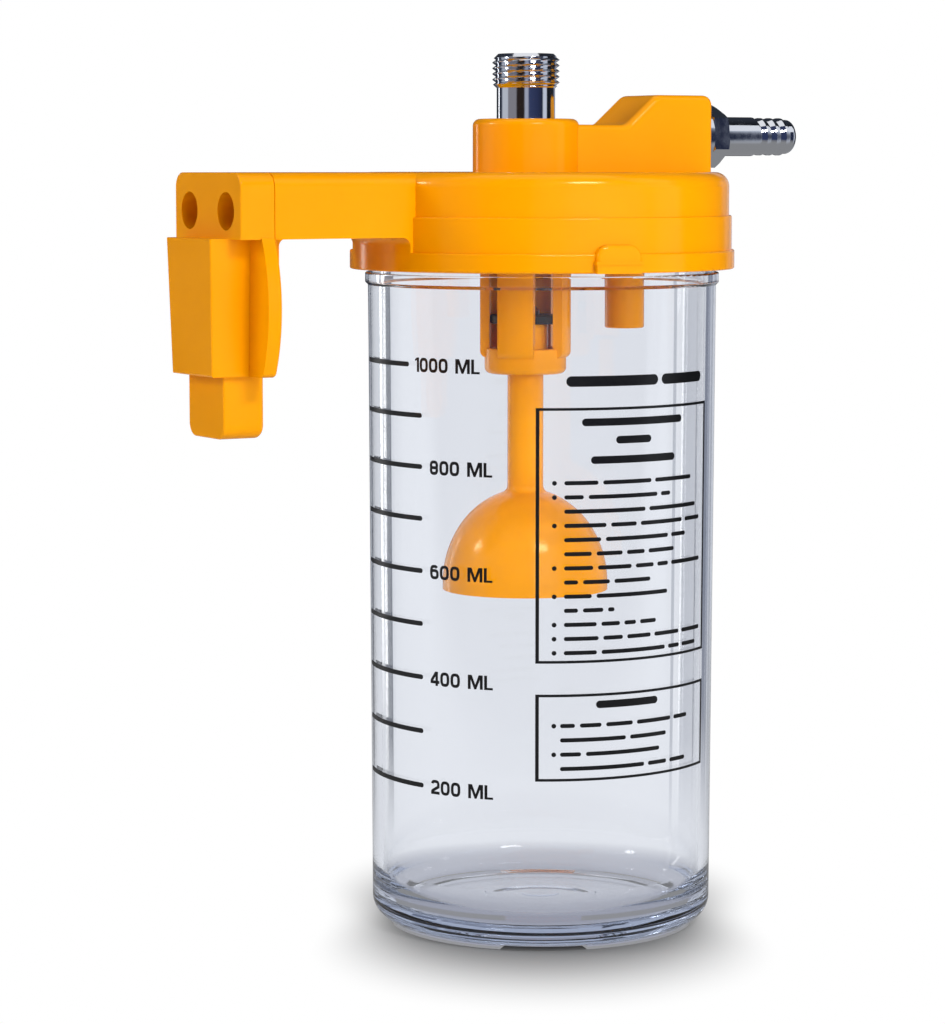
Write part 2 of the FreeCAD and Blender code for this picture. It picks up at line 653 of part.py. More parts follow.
def lid_ridges():
    """The lid's own thread ridges, just under the jar's, so that their flanks pull the lid down."""
    drop = (THREAD_BASE_WIDTH + THREAD_CREST_WIDTH) / 2 + THREAD_FLANK_CLEARANCE
    return thread_ridges(LID_BORE_R, JAR_NECK_R + THREAD_CREST_CLEARANCE, THREAD_BOTTOM_Z - drop)


def lid():
    """One moulding: stepped cap, boss, side block, inlet stub, arm; hollowed, bored and threaded."""
    boss = turned([
        (0, LID_TOP_Z - FUSE),
        (BOSS_R, LID_TOP_Z - FUSE),
        (BOSS_R, BOSS_TOP_Z, BOSS_ROUND),
        (0, BOSS_TOP_Z),
    ], PORT_X)
    solid = lid_shell().fuse([arm(), boss, side_block(), flange_bump()])
    solid = solid.cut(rod(LID_BORE_R, 0, 0, LID_BOTTOM_Z - OVERRUN, LID_UNDERSIDE_Z))
    ring_r = GASKET_R_IN - GASKET_GAP
    ring = turned([
        (ring_r - LID_RING_WALL, LID_UNDERSIDE_Z - LID_RING_DEPTH),
        (ring_r, LID_UNDERSIDE_Z - LID_RING_DEPTH),
        (ring_r, LID_UNDERSIDE_Z + FUSE),
        (ring_r - LID_RING_WALL, LID_UNDERSIDE_Z + FUSE),
    ])
    stub = turned([
        (0, STUB_BOTTOM_Z),
        (STUB_R, STUB_BOTTOM_Z, STUB_ROUND),
        (STUB_R, LID_UNDERSIDE_Z + FUSE),
        (0, LID_UNDERSIDE_Z + FUSE),
    ], STUB_X)
    solid = solid.fuse([ring, stub] + lid_ridges())
    core_half = BLOCK_HALF_WIDTH - LID_PLATE
    barb_hole_r = BARB_TAIL_R + BARB_TAIL_CLEARANCE
    seal_hole_r = barb_hole_r + BARB_SEAL_WIDTH
    holes = [
        rod(PORT_TAIL_R + PORT_TAIL_CLEARANCE, PORT_X, 0, LID_UNDERSIDE_Z - OVERRUN, BOSS_TOP_Z + OVERRUN),
        rod(PORT_NECK_R + PORT_SEAL_CLEARANCE, PORT_X, 0, BOSS_TOP_Z - PORT_NECK_SINK - PORT_SEAL_THICKNESS,
            BOSS_TOP_Z + OVERRUN),
        rod(STUB_BORE_R, STUB_X, 0, STUB_BOTTOM_Z - OVERRUN, BARB_Z + PASSAGE_R),
        rod_along_x(PASSAGE_R, 0, BARB_Z, STUB_X, BLOCK_END_X + OVERRUN),
        rod_along_x(barb_hole_r, 0, BARB_Z, BLOCK_END_X - BARB_TAIL_LENGTH - BARB_TAIL_CLEARANCE,
                    BLOCK_END_X + OVERRUN),
        rod_along_x(seal_hole_r, 0, BARB_Z, BLOCK_END_X - BARB_SEAL_DEPTH, BLOCK_END_X + OVERRUN),
        block(BLOCK_CORE_X0, BLOCK_CORE_X1, -core_half, core_half, LID_UNDERSIDE_Z - OVERRUN,
              BLOCK_SHELF_Z - BLOCK_CORE_ROOF),
    ]
    return solid.cut(holes + arm_hollows())


def lid_gasket():
    """Flat rubber ring in the channel between the lid's skirt and its inner ring."""
    return turned([
        (GASKET_R_IN, LID_UNDERSIDE_Z - GASKET_THICKNESS),
        (GASKET_R_OUT, LID_UNDERSIDE_Z - GASKET_THICKNESS),
        (GASKET_R_OUT, LID_UNDERSIDE_Z),
        (GASKET_R_IN, LID_UNDERSIDE_Z),
    ])


def vacuum_port():
    """Turned nipple: thread blank with chamfers, neck, tail through the boss, seat land at its lower end."""
    shoulder_z = BOSS_TOP_Z - PORT_NECK_SINK
    return turned([
        (PORT_BORE_R, PORT_SEAT_Z),
        (PORT_BORE_R + PORT_SEAT_LAND, PORT_SEAT_Z),
        (PORT_TAIL_R, PORT_SEAT_Z + PORT_SEAT_DEPTH),
        (PORT_TAIL_R, shoulder_z),
        (PORT_NECK_R, shoulder_z),
        (PORT_NECK_R, PORT_CHAMFER_BOTTOM_Z),
        (PORT_THREAD_R, PORT_THREAD_BOTTOM_Z),
        (PORT_THREAD_R, PORT_THREAD_TOP_Z),
        (PORT_FACE_R, PORT_TOP_Z),
        (PORT_MOUTH_R, PORT_TOP_Z),
        (PORT_MOUTH_R, PORT_MOUTH_BOTTOM_Z),
        (PORT_BORE_R, PORT_MOUTH_BOTTOM_Z - (PORT_MOUTH_R - PORT_BORE_R)),
    ], PORT_X)


def port_seal():
    """Rubber ring squeezed between the nipple's shoulder and the floor of the boss's recess."""
    top = BOSS_TOP_Z - PORT_NECK_SINK
    edge = PORT_SEAL_THICKNESS * 0.3
    r_in = PORT_TAIL_R + PORT_TAIL_CLEARANCE
    return turned([
        (r_in, top - PORT_SEAL_THICKNESS, edge),
        (PORT_NECK_R, top - PORT_SEAL_THICKNESS, edge),
        (PORT_NECK_R, top, edge),
        (r_in, top, edge),
    ], PORT_X)


def port_washer():
    """Flat washer under the cage's top plate."""
    top = CAGE_PLATE_Z
    hole_r = PORT_TAIL_R + PORT_TAIL_CLEARANCE
    return rod(PORT_WASHER_R, PORT_X, 0, top - PORT_WASHER_THICKNESS, top).cut(
        rod(hole_r, PORT_X, 0, top - PORT_WASHER_THICKNESS - OVERRUN, top + OVERRUN))


def port_nut():
    """Thin hexagon nut on the tail, its corners chamfered on both faces."""
    top = CAGE_PLATE_Z - PORT_WASHER_THICKNESS
    low = top - PORT_NUT_THICKNESS
    corner_r = PORT_NUT_ACROSS_FLATS / math.sqrt(3)
    solid = extruded(hexagon(PORT_NUT_ACROSS_FLATS, 0), "XY", low, top)
    envelope = turned([
        (0, low),
        (corner_r - PORT_NUT_CHAMFER, low),
        (corner_r, low + PORT_NUT_CHAMFER / 2),
        (corner_r, top - PORT_NUT_CHAMFER / 2),
        (corner_r - PORT_NUT_CHAMFER, top),
        (0, top),
    ])
    solid = solid.common(envelope)
    solid.translate(Vector(PORT_X, 0, 0))
    return solid.cut(rod(PORT_TAIL_R, PORT_X, 0, low - OVERRUN, top + OVERRUN))


def float_cage():
    """Top plate, four ribs with rounded lower ends, and a bored cup that the stem slides in."""
    plate = rod(CAGE_RIB_R_OUT, 0, 0, CAGE_PLATE_Z, LID_UNDERSIDE_Z)
    cup = turned([
        (0, CAGE_CUP_BOTTOM_Z),
        (CAGE_CUP_R, CAGE_CUP_BOTTOM_Z, CAGE_CUP_ROUND),
        (CAGE_CUP_R, CAGE_CUP_TOP_Z, CAGE_CUP_EDGE),
        (CAGE_CUP_BORE_R, CAGE_CUP_TOP_Z, CAGE_CUP_EDGE),
        (CAGE_CUP_BORE_R, CAGE_FLOOR_Z),
        (0, CAGE_FLOOR_Z),
    ])
    half = CAGE_RIB_WIDTH / 2
    end_round = CAGE_RIB_R_OUT - CAGE_RIB_R_IN
    ring = turned([
        (CAGE_RIB_R_IN, CAGE_RIB_BOTTOM_Z),
        (CAGE_RIB_R_OUT, CAGE_RIB_BOTTOM_Z, CAGE_RIB_END_SHARE * end_round),
        (CAGE_RIB_R_OUT, LID_UNDERSIDE_Z),
        (CAGE_RIB_R_IN, LID_UNDERSIDE_Z),
    ])
    solid = plate.fuse(cup)
    for index in range(CAGE_RIB_COUNT):
        bar = block(0, CAGE_RIB_R_OUT + OVERRUN, -half, half, CAGE_RIB_BOTTOM_Z, LID_UNDERSIDE_Z)
        bar.rotate(Vector(0, 0, 0), Vector(0, 0, 1), CAGE_RIB_AT_DEG + 360 * index / CAGE_RIB_COUNT)
        solid = solid.fuse(ring.common(bar))
    solid = solid.cut([
        rod(PORT_TAIL_R + PORT_TAIL_CLEARANCE, 0, 0, CAGE_PLATE_Z - OVERRUN, LID_UNDERSIDE_Z + OVERRUN),
        rod(STEM_R + CAGE_STEM_CLEARANCE, 0, 0, CAGE_CUP_BOTTOM_Z - OVERRUN, CAGE_FLOOR_Z + OVERRUN),
    ])
    solid.translate(Vector(PORT_X, 0, 0))
    return solid


def valve_carrier():
    """Cylinder on top of the stem that carries the disc, with a socket below and a pin hole above."""
    top = DISC_BOTTOM_Z
    body = turned([
        (0, CARRIER_BOTTOM_Z),
        (CARRIER_R, CARRIER_BOTTOM_Z, CARRIER_ROUND),
        (CARRIER_R, top, CARRIER_ROUND),
        (0, top),
    ], PORT_X)
    return body.cut([
        rod(STEM_SPIGOT_R, PORT_X, 0, CARRIER_BOTTOM_Z - OVERRUN, CARRIER_BOTTOM_Z + STEM_SPIGOT_LENGTH),
        rod(PIN_R, PORT_X, 0, top - PIN_SCREW_DEPTH, top + OVERRUN),
    ])


def valve_disc():
    """Rubber disc with a pin hole."""
    return turned([
        (PIN_R, DISC_BOTTOM_Z),
        (DISC_R, DISC_BOTTOM_Z, DISC_ROUND),
        (DISC_R, DISC_TOP_Z, DISC_ROUND),
        (PIN_R, DISC_TOP_Z),
    ], PORT_X)


def disc_pin():
    """Turned pin: screwed end in the carrier, foot on the disc, cone, and a guide rod up into the port."""
    foot_top = DISC_TOP_Z + PIN_FOOT_HEIGHT
    return turned([
        (0, DISC_BOTTOM_Z - PIN_SCREW_DEPTH),
        (PIN_R, DISC_BOTTOM_Z - PIN_SCREW_DEPTH),
        (PIN_R, DISC_TOP_Z),
        (PIN_FOOT_R, DISC_TOP_Z),
        (PIN_FOOT_R, foot_top),
        (PIN_R, foot_top + PIN_CONE_HEIGHT),
        (PIN_R, PIN_TOP_Z - PIN_TIP_CHAMFER),
        (PIN_R - PIN_TIP_CHAMFER, PIN_TOP_Z),
        (0, PIN_TOP_Z),
    ], PORT_X)


def dome_arc(radius, height, r0, r1):
    """Arc of an ellipse on the dome's equator, from distance r0 to distance r1 from the axis."""
    centre = Vector(0, 0, DOME_EQUATOR_Z)
    curve = Part.Ellipse(centre + Vector(0, 0, height), centre + Vector(radius, 0, 0), centre)
    ends = []
    for r in (r0, r1):
        ends.append(centre + Vector(r, 0, height * math.sqrt(1 - (r / radius) ** 2)))
    params = sorted(curve.parameter(end) for end in ends)
    return Part.Edge(curve, params[0], params[1]), ends[0], ends[1]


def chain(points):
    """Straight edges through a list of points."""
    return [Part.LineSegment(a, b).toShape() for a, b in zip(points, points[1:])]


def float_body():
    """Open dome and hollow stem in one moulding, turned from one section, with a spigot for the carrier."""
    spigot_top = CARRIER_BOTTOM_Z + STEM_SPIGOT_LENGTH
    fillet_r = STEM_R + DOME_STEM_FILLET
    outer_arc, rim, shoulder = dome_arc(DOME_R, DOME_HEIGHT, DOME_R, fillet_r)
    inner_r = DOME_R - DOME_WALL
    inner_arc, inner_rim, core_foot = dome_arc(inner_r, DOME_HEIGHT - DOME_WALL, inner_r, STEM_CORE_R)
    tangent = Vector(-DOME_R ** 2 * (shoulder.z - DOME_EQUATOR_Z), 0, DOME_HEIGHT ** 2 * shoulder.x)
    corner = shoulder + tangent * ((STEM_R - shoulder.x) / tangent.x)
    stem_foot = Vector(STEM_R, 0, corner.z + DOME_STEM_FILLET)
    blend = Part.BezierCurve()
    blend.setPoles([shoulder, corner, stem_foot])
    edges = chain([Vector(inner_r, 0, DOME_BOTTOM_Z), Vector(DOME_R, 0, DOME_BOTTOM_Z), rim])
    edges += [outer_arc, blend.toShape()]
    edges += chain([
        stem_foot,
        Vector(STEM_R, 0, CARRIER_BOTTOM_Z),
        Vector(STEM_SPIGOT_R, 0, CARRIER_BOTTOM_Z),
        Vector(STEM_SPIGOT_R, 0, spigot_top),
        Vector(0, 0, spigot_top),
        Vector(0, 0, STEM_CORE_TOP_Z),
        Vector(STEM_CORE_R, 0, STEM_CORE_TOP_Z),
        core_foot,
    ])
    edges.append(inner_arc)
    edges += chain([inner_rim, Vector(inner_r, 0, DOME_BOTTOM_Z)])
    section = Part.Face(Part.Wire(Part.__sortEdges__(edges)))
    solid = section.revolve(Vector(0, 0, 0), Vector(0, 0, 1), 360)
    solid.translate(Vector(PORT_X, 0, 0))
    return solid


def hose_barb():
    """Turned fitting on a hexagon: tail in the block, barrel, saw-tooth rings, rounded tip, through bore."""
    hex_end = BARB_HEX_X + BARB_HEX_LENGTH
    corner_r = BARB_HEX_ACROSS_FLATS / math.sqrt(3)
    hex_points = hexagon(BARB_HEX_ACROSS_FLATS, BARB_HEX_TURN_DEG)
    nut = extruded(hex_points, "YZ", BARB_HEX_X, hex_end).common(turned_along_x([
        (BARB_HEX_X, 0),
        (BARB_HEX_X, corner_r - BARB_HEX_CHAMFER),
        (BARB_HEX_X + BARB_HEX_CHAMFER / 2, corner_r),
        (hex_end - BARB_HEX_CHAMFER / 2, corner_r),
        (hex_end, corner_r - BARB_HEX_CHAMFER),
        (hex_end, 0),
    ], 0, 0))
    profile = [
        (BLOCK_END_X - BARB_TAIL_LENGTH, 0),
        (BLOCK_END_X - BARB_TAIL_LENGTH, BARB_TAIL_R),
        (BARB_HEX_X + FUSE, BARB_TAIL_R),
        (BARB_HEX_X + FUSE, BARB_BARREL_R),
    ]
    for index in range(BARB_RING_COUNT):
        crest_x = BARB_FIRST_RING_X + index * BARB_RING_PITCH
        crest_r = BARB_BARREL_R if index == 0 else BARB_CREST_R
        profile.append((crest_x, crest_r))
        profile.append((crest_x + BARB_RELIEF_LENGTH / 3, BARB_ROOT_R))
        profile.append((crest_x + BARB_RELIEF_LENGTH, BARB_ROOT_R))
        if index < BARB_RING_COUNT - 1:
            profile.append((crest_x + BARB_RING_PITCH * 0.75, BARB_CREST_R))
    profile += [
        (BARB_TIP_X, BARB_TIP_R, BARB_TIP_ROUND),
        (BARB_TIP_X, 0),
    ]
    solid = nut.fuse(turned_along_x(profile, 0, 0))
    tail_x = BLOCK_END_X - BARB_TAIL_LENGTH
    solid = solid.cut(rod_along_x(PASSAGE_R, 0, 0, tail_x - OVERRUN, BARB_TIP_X + OVERRUN))
    solid.translate(Vector(0, 0, BARB_Z))
    return solid


def ring_along_x(r_in, r_out, y, z, x0, x1):
    """Flat ring about an axis along X."""
    return turned_along_x([(x0, r_in), (x0, r_out), (x1, r_out), (x1, r_in)], y, z)


def barb_washer():
    """Plain washer between the hexagon and the block."""
    return ring_along_x(BARB_TAIL_R + BARB_TAIL_CLEARANCE, BARB_WASHER_R, 0, BARB_Z, BLOCK_END_X, BARB_HEX_X)


def barb_seal():
    """Small rubber ring in the mouth of the barb's hole."""
    r_in = BARB_TAIL_R + BARB_TAIL_CLEARANCE
    r_out = r_in + BARB_SEAL_WIDTH - BARB_SEAL_CLEARANCE
    return ring_along_x(r_in, r_out, 0, BARB_Z, BLOCK_END_X - BARB_SEAL_DEPTH, BLOCK_END_X)


def hanger_plate():
    """Plate with two bulging sides: each side is the arc through its middle and its two ends."""
    low = HANGER_BOX_BOTTOM_Z
    high = ARM_BOTTOM_Z + FUSE
    middle = (low + high) / 2
    end = HANGER_PLATE_END_HALF_WIDTH
    bulge = HANGER_PLATE_HALF_WIDTH

    def at(y, z):
        return Vector(HANGER_PLATE_X0, y, z)

    wire = Part.Wire([
        Part.makeLine(at(-end, low), at(end, low)),
        Part.Arc(at(end, low), at(bulge, middle), at(end, high)).toShape(),
        Part.makeLine(at(end, high), at(-end, high)),
        Part.Arc(at(-end, high), at(-bulge, middle), at(-end, low)).toShape(),
    ])
    plate = Part.Face(wire).extrude(Vector(HANGER_PLATE_X1 - HANGER_PLATE_X0, 0, 0))
    plate = rounded(plate, HANGER_PLATE_CORNER_R, lambda p: p.z < low + 0.01 and abs(p.y) > end - 0.01)
    return rounded(plate, HANGER_PLATE_EDGE, lambda p: p.x > HANGER_PLATE_X1 - 0.01 and p.z < high - 0.01)


def hanger_box():
    """Box lofted from its top outline to its slightly smaller bottom outline, front edges just broken."""
    rings = []
    for z, shrink_end, shrink_side in (
            (HANGER_BOX_BOTTOM_Z, HANGER_BOX_DRAFT_END, HANGER_BOX_DRAFT_SIDE), (HANGER_BOX_TOP_Z, 0, 0)):
        end_x = HANGER_BOX_END_X + shrink_end
        half = HANGER_BOX_HALF_WIDTH - shrink_side
        inner_x = HANGER_PLATE_X0 + FUSE
        corners = [
            Vector(end_x, -half, z),
            Vector(inner_x, -half, z),
            Vector(inner_x, half, z),
            Vector(end_x, half, z),
        ]
        rings.append(Part.makePolygon(corners + corners[:1]))
    box = Part.makeLoft(rings, True, True)
    return rounded(box, HANGER_BREAK, lambda p: p.x < HANGER_BOX_END_X + HANGER_BOX_DRAFT_END + 0.01)


def hanger():
    """One moulding: block with a spigot in the arm, plate with bulging sides, drafted box, and tongue."""
    upper = extruded([
        (-ARM_HALF_WIDTH_END, ARM_BOTTOM_Z),
        (ARM_HALF_WIDTH_END, ARM_BOTTOM_Z),
        (ARM_HALF_WIDTH_END, LID_TOP_Z, ARM_EDGE_ROUND),
        (-ARM_HALF_WIDTH_END, LID_TOP_Z, ARM_EDGE_ROUND),
    ], "YZ", HANGER_FACE_X, ARM_END_X)
    upper = rounded(upper, HANGER_BREAK, lambda p: p.z > ARM_BOTTOM_Z + 0.01 and (
        p.x > ARM_END_X - 0.01 or p.x < HANGER_FACE_X + 0.01))
    spigot = block(ARM_END_X - FUSE, ARM_END_X + HANGER_SPIGOT_LENGTH, -HANGER_SPIGOT_HALF_WIDTH,
                   HANGER_SPIGOT_HALF_WIDTH, HANGER_SPIGOT_BOTTOM_Z, HANGER_SPIGOT_TOP_Z)
    low = HANGER_BOX_BOTTOM_Z
    tongue = extruded([
        (-TONGUE_HALF_WIDTH, low + OVERRUN),
        (-TONGUE_HALF_WIDTH, TONGUE_BOTTOM_Z, TONGUE_ROUND),
        (TONGUE_HALF_WIDTH, TONGUE_BOTTOM_Z, TONGUE_ROUND),
        (TONGUE_HALF_WIDTH, low + OVERRUN),
    ], "YZ", TONGUE_X0, TONGUE_X1)
    tongue = rounded(tongue, TONGUE_SIDE_ROUND, lambda p: p.x > TONGUE_X1 - 0.01 and p.z < low)
    tongue = rounded(tongue, HANGER_BREAK, lambda p: p.x < TONGUE_X0 + 0.01 and p.z < low)
    wide = TONGUE_HALF_WIDTH + OVERRUN
    tongue = tongue.cut(block(HANGER_PLATE_X1, TONGUE_X1 + OVERRUN, -wide, wide, low, low + 2 * OVERRUN))
    solid = upper.fuse([spigot, hanger_plate(), hanger_box(), tongue])
    holes = []
    for side in (-1, 1):
        y = side * SCREW_Y
        holes.append(rod_along_x(COUNTERBORE_R, y, SCREW_Z, HANGER_FACE_X - OVERRUN, COUNTERBORE_X))
        holes.append(rod_along_x(SCREW_HOLE_R, y, SCREW_Z, COUNTERBORE_X - OVERRUN, ARM_SOCKET_X))
    return solid.cut(holes)


def pair(piece):
    """The same piece on both screw axes, as one group of two solids."""
    solids = []
    for side in (-1, 1):
        copy = piece.copy()
        copy.translate(Vector(0, side * SCREW_Y, SCREW_Z))
        solids.append(copy)
    return Part.makeCompound(solids)


def hanger_screws():
    """Two socket-head screws from the bottom of the counterbores into the inserts."""
    seat_x = COUNTERBORE_X - SCREW_WASHER_THICKNESS
    head_x = seat_x - SCREW_HEAD_HEIGHT
    screw = turned_along_x([
        (head_x, 0),
        (head_x, SCREW_HEAD_R, SCREW_HEAD_ROUND),
        (seat_x, SCREW_HEAD_R),
        (seat_x, SCREW_R),
        (ARM_SOCKET_X + SCREW_INSERT_GRIP, SCREW_R, SCREW_TIP_ROUND),
        (ARM_SOCKET_X + SCREW_INSERT_GRIP, 0),
    ], 0, 0)
    socket_end = head_x + SCREW_SOCKET_DEPTH
    socket = extruded(hexagon(SCREW_SOCKET_ACROSS_FLATS, 0), "YZ", head_x - OVERRUN, socket_end)
    return pair(screw.cut(socket))


def hanger_washers():
    """Washers under the two heads."""
    return pair(ring_along_x(SCREW_HOLE_R, SCREW_WASHER_R, 0, 0, COUNTERBORE_X - SCREW_WASHER_THICKNESS,
                             COUNTERBORE_X))


def arm_inserts():
    """Two brass inserts pressed into the arm's cross wall."""
    return pair(ring_along_x(SCREW_R + INSERT_BORE_CLEARANCE, INSERT_R, 0, 0, ARM_SOCKET_X,
                             ARM_SOCKET_X + INSERT_LENGTH))


PIECES = {
    "jar": jar,
    "lid": lid,
    "lid_gasket": lid_gasket,
    "vacuum_port": vacuum_port,
    "port_seal": port_seal,
    "port_washer": port_washer,
    "port_nut": port_nut,
    "float_cage": float_cage,
    "float": float_body,
    "valve_carrier": valve_carrier,
    "valve_disc": valve_disc,
    "disc_pin": disc_pin,
    "hose_barb": hose_barb,
    "barb_washer": barb_washer,
    "barb_seal": barb_seal,
    "hanger": hanger,
    "hanger_screws": hanger_screws,
    "hanger_washers": hanger_washers,
    "arm_inserts": arm_inserts,
}

os.makedirs("parts", exist_ok=True)
for name, make in PIECES.items():
    shape = make()
    shape.exportStep(f"parts/{name}.step")
    print(name, "valid", shape.isValid(), "solids", len(shape.Solids), "volume", round(shape.Volume, 1))
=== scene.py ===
"""Suction canister: finishes, fine thread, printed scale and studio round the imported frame.

Lengths in the values below are millimetres unless their comment says metres. Angles are degrees round
the jar's axis, counted from the hose barb's side.
"""
import json
import math

import bpy
import numpy as np
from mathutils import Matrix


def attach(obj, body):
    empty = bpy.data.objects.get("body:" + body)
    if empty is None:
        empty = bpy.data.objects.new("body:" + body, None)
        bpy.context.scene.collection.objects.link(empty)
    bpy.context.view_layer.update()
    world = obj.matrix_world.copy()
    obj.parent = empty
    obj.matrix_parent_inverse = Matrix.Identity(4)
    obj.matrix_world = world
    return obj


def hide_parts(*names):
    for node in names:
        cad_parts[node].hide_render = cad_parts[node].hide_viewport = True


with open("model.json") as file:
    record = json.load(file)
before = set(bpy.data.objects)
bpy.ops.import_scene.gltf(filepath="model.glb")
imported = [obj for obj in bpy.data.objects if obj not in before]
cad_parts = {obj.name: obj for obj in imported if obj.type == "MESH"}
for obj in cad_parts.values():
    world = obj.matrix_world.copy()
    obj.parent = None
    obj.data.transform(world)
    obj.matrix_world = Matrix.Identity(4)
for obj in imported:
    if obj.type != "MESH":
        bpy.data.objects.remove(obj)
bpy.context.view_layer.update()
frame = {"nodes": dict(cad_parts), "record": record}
nodes = frame["nodes"]
MM = 0.001

# Jar wall, as the frame has it
WALL_R_LOW = 48.9
WALL_Z_LOW = 10.0
WALL_R_HIGH = 49.75
WALL_Z_HIGH = 184.0

# Ink of the printed scale and panels: its lift off the wall, its thickness and its steps round the wall;
# the points of a bar's round end, and the least half height there as a share of the bar's height
INK_LIFT = 0.03
INK_FILM = 0.06
INK_STEP_DEG = 0.8
INK_END_POINTS = 6
INK_END_LEAST = 0.02

# Scale: heights follow z = base + rise * t - bend * t * t, with t in hundreds of ml above the first mark
SCALE_BASE_Z = 45.2
SCALE_RISE = 15.525
SCALE_BEND = 0.1
TICK_START_DEG = 158.5
TICK_END_DEG = 197.0
TOP_TICK_END_DEG = 191.1
TICK_HEIGHT = 1.35
FIRST_MARK = 2
TOP_MARK = 10
NUMBER_START_DEG = 200.3
TOP_NUMBER_START_DEG = 194.0

# Scale figures: square-shouldered strokes, drawn in a box CAP_HEIGHT tall
CAP_HEIGHT = 4.0
STROKE = 0.84
DIGIT_WIDTH = 3.0
M_WIDTH = 4.45
L_WIDTH = 2.5
ONE_WIDTH = 1.5
LETTER_GAP = 0.42
WORD_GAP = 2.05

# Panels of plain bars that take the place of wording
PANEL_LEFT_DEG = 237.0
PANEL_RIGHT_DEG = 306.4
PANEL_LINE = 0.75
PANEL_UPRIGHT = 1.0
UPPER_PANEL = (152.0, 81.6)
LOWER_PANEL = (73.0, 48.7)
BAR_HEIGHT = 1.15
BAR_GAP = 1.4
HEADING_HEIGHT = 2.1
TOP_HEADING_HEIGHT = 2.9
# Headings: height, start and end angle, relative lengths of the bars, thickness
HEADINGS = (
    (159.2, 246.6, 302.3, (6, 4), TOP_HEADING_HEIGHT),
    (148.0, 251.7, 290.3, (1,), HEADING_HEIGHT),
    (143.0, 263.2, 276.4, (1,), HEADING_HEIGHT),
    (137.6, 254.7, 286.9, (1,), HEADING_HEIGHT),
    (69.9, 256.8, 280.0, (1,), HEADING_HEIGHT),
)
# Lines under them: whether a dot stands before, end angle, relative lengths of the bars
UPPER_LINES = (
    (True, 296, (5, 8, 8)), (True, 285, (3, 12, 2)), (False, 299, (11, 9)), (True, 302, (6, 4, 8, 4)),
    (False, 293, (5, 10, 3)), (False, 287, (4, 4, 3, 5)), (True, 302.5, (4, 5, 3, 2, 7)),
    (False, 276.5, (2, 4, 6)), (True, 284, (4, 12)), (False, 263, (2, 3, 1)), (True, 279, (5, 3, 2, 3)),
    (True, 303, (5, 3, 4, 5, 5)), (True, 300, (4, 9, 2, 3)),
)
LOWER_LINES = (
    (True, 295, (2, 3, 4, 6, 3)), (False, 284, (9, 6)), (True, 281, (3, 12)), (False, 294, (11, 3, 3)),
)
# Blocks of lines: the lines, the top line's height, the step down, the start angle
LINE_BLOCKS = ((UPPER_LINES, 131.4, 3.91, 246.1), (LOWER_LINES, 64.2, 4.0, 245.0))
DOT_START_DEG = 242.2
DOT_HEIGHT = 1.3
DOT_LENGTH = 1.326

# Vacuum port's turned profile, radius and height of each corner: from the widened mouth along the seat,
# up the tail, shoulder and neck, over the thread's blank and the top's bevel, and back down the bore
PORT_AXIS_X = -5.4
PORT_PROFILE = (
    (4.25, 190.3), (4.8, 190.3), (6.0, 190.9), (6.0, 229.9), (8.3, 229.9), (8.3, 239.6), (9.525, 240.7),
    (9.525, 247.6), (7.9, 249.2), (5.6, 249.2), (5.6, 233.0), (4.0, 231.4), (4.0, 193.0), (4.25, 192.4),
)
# Runs of the profile that are cut finely for the thread, first and last, and the length of a cut
FINE_RUNS = (5, 7)
FINE_STEP = 0.09
PORT_SEGMENTS = 192

# Fine thread on the port: 16 turns to the inch, between two heights and outside a radius
THREAD_PITCH = 1.5875
THREAD_DEPTH = 0.92
THREAD_CREST_R = 9.525
THREAD_LOW_Z = 239.8
THREAD_HIGH_Z = 249.1
THREAD_LEAST_R = 7.0
THREAD_FLANK = 1.25
THREAD_CREST_FLAT = 0.12
PORT_SHARP_DEG = 32

# Camera: its place and lens, its turn and pitch, and its clip distances in metres
CAMERA_PLACE = (-494.65, -817.1, 217.9)
CAMERA_LENS = 117.07
CAMERA_AZIMUTH_DEG = -30.0
CAMERA_PITCH_DEG = 5.95
CAMERA_CLIP = (0.05, 30)

# Studio light: what the world gives, and the pale background as it is seen through the jar
WORLD_LIGHT = 0.2
THROUGH_GLASS = "#EEF1F7"

# Soft lamps, metres and watts: name, angle round the jar, angle above the horizon, distance, size,
# power, the point it is aimed at, and whether gloss and glass mirror it
LAMPS = (
    ("front_lamp", 265, 35, 0.95, (0.26, 0.13), 4.2, (0.03, 0, 0.21), True),
    ("front_fill", 276, 9, 0.9, (0.9, 0.5), 4.6, (0.04, 0, 0.15), False),
    ("left_lamp", 156, 27, 1.2, (0.17, 0.17), 2.0, (0, 0, 0.15), True),
    ("left_fill", 166, 20, 1.2, (0.8, 0.8), 4.2, (0, 0, 0.15), False),
    ("back_fill", 62, 28, 1.2, (0.8, 0.8), 6.5, (0, 0, 0.15), False),
    ("inner_fill", 262, 12, 0.9, (0.5, 0.3), 2.5, (0, 0, 0.15), False),
)
# The pieces in the jar, which the lid shades, and the lamp that lights them alone
INNER_LAMP = "inner_fill"
INNER_PIECES = ("float", "float_cage", "valve_carrier", "valve_disc", "disc_pin")

# Studio surround in metres, seen only in reflections: shades at angles, running softly between them
SURROUND_R = 1.5
SURROUND_LOW = -1.0
SURROUND_HIGH = 3.4
BACK_SHADES = (
    (-28, "#15181C"), (30, "#30343C"), (100, "#30343C"), (128, "#3A4150"), (136, "#C8CCD4"), (150, "#C8CCD4"),
)
FRONT_SHADES = (
    (150, "#C8CCD4"), (162, "#C8CCD4"), (167, "#8C8A90"), (199, "#8C8A90"), (205, "#2E2624"),
    (231, "#2E2624"), (237, "#B0B4C4"), (246, "#B0B4C4"), (252, "#3C4668"), (285, "#303858"),
    (307, "#262C40"), (312, "#D4DAE6"), (327, "#D4DAE6"), (332, "#1C2026"),
)
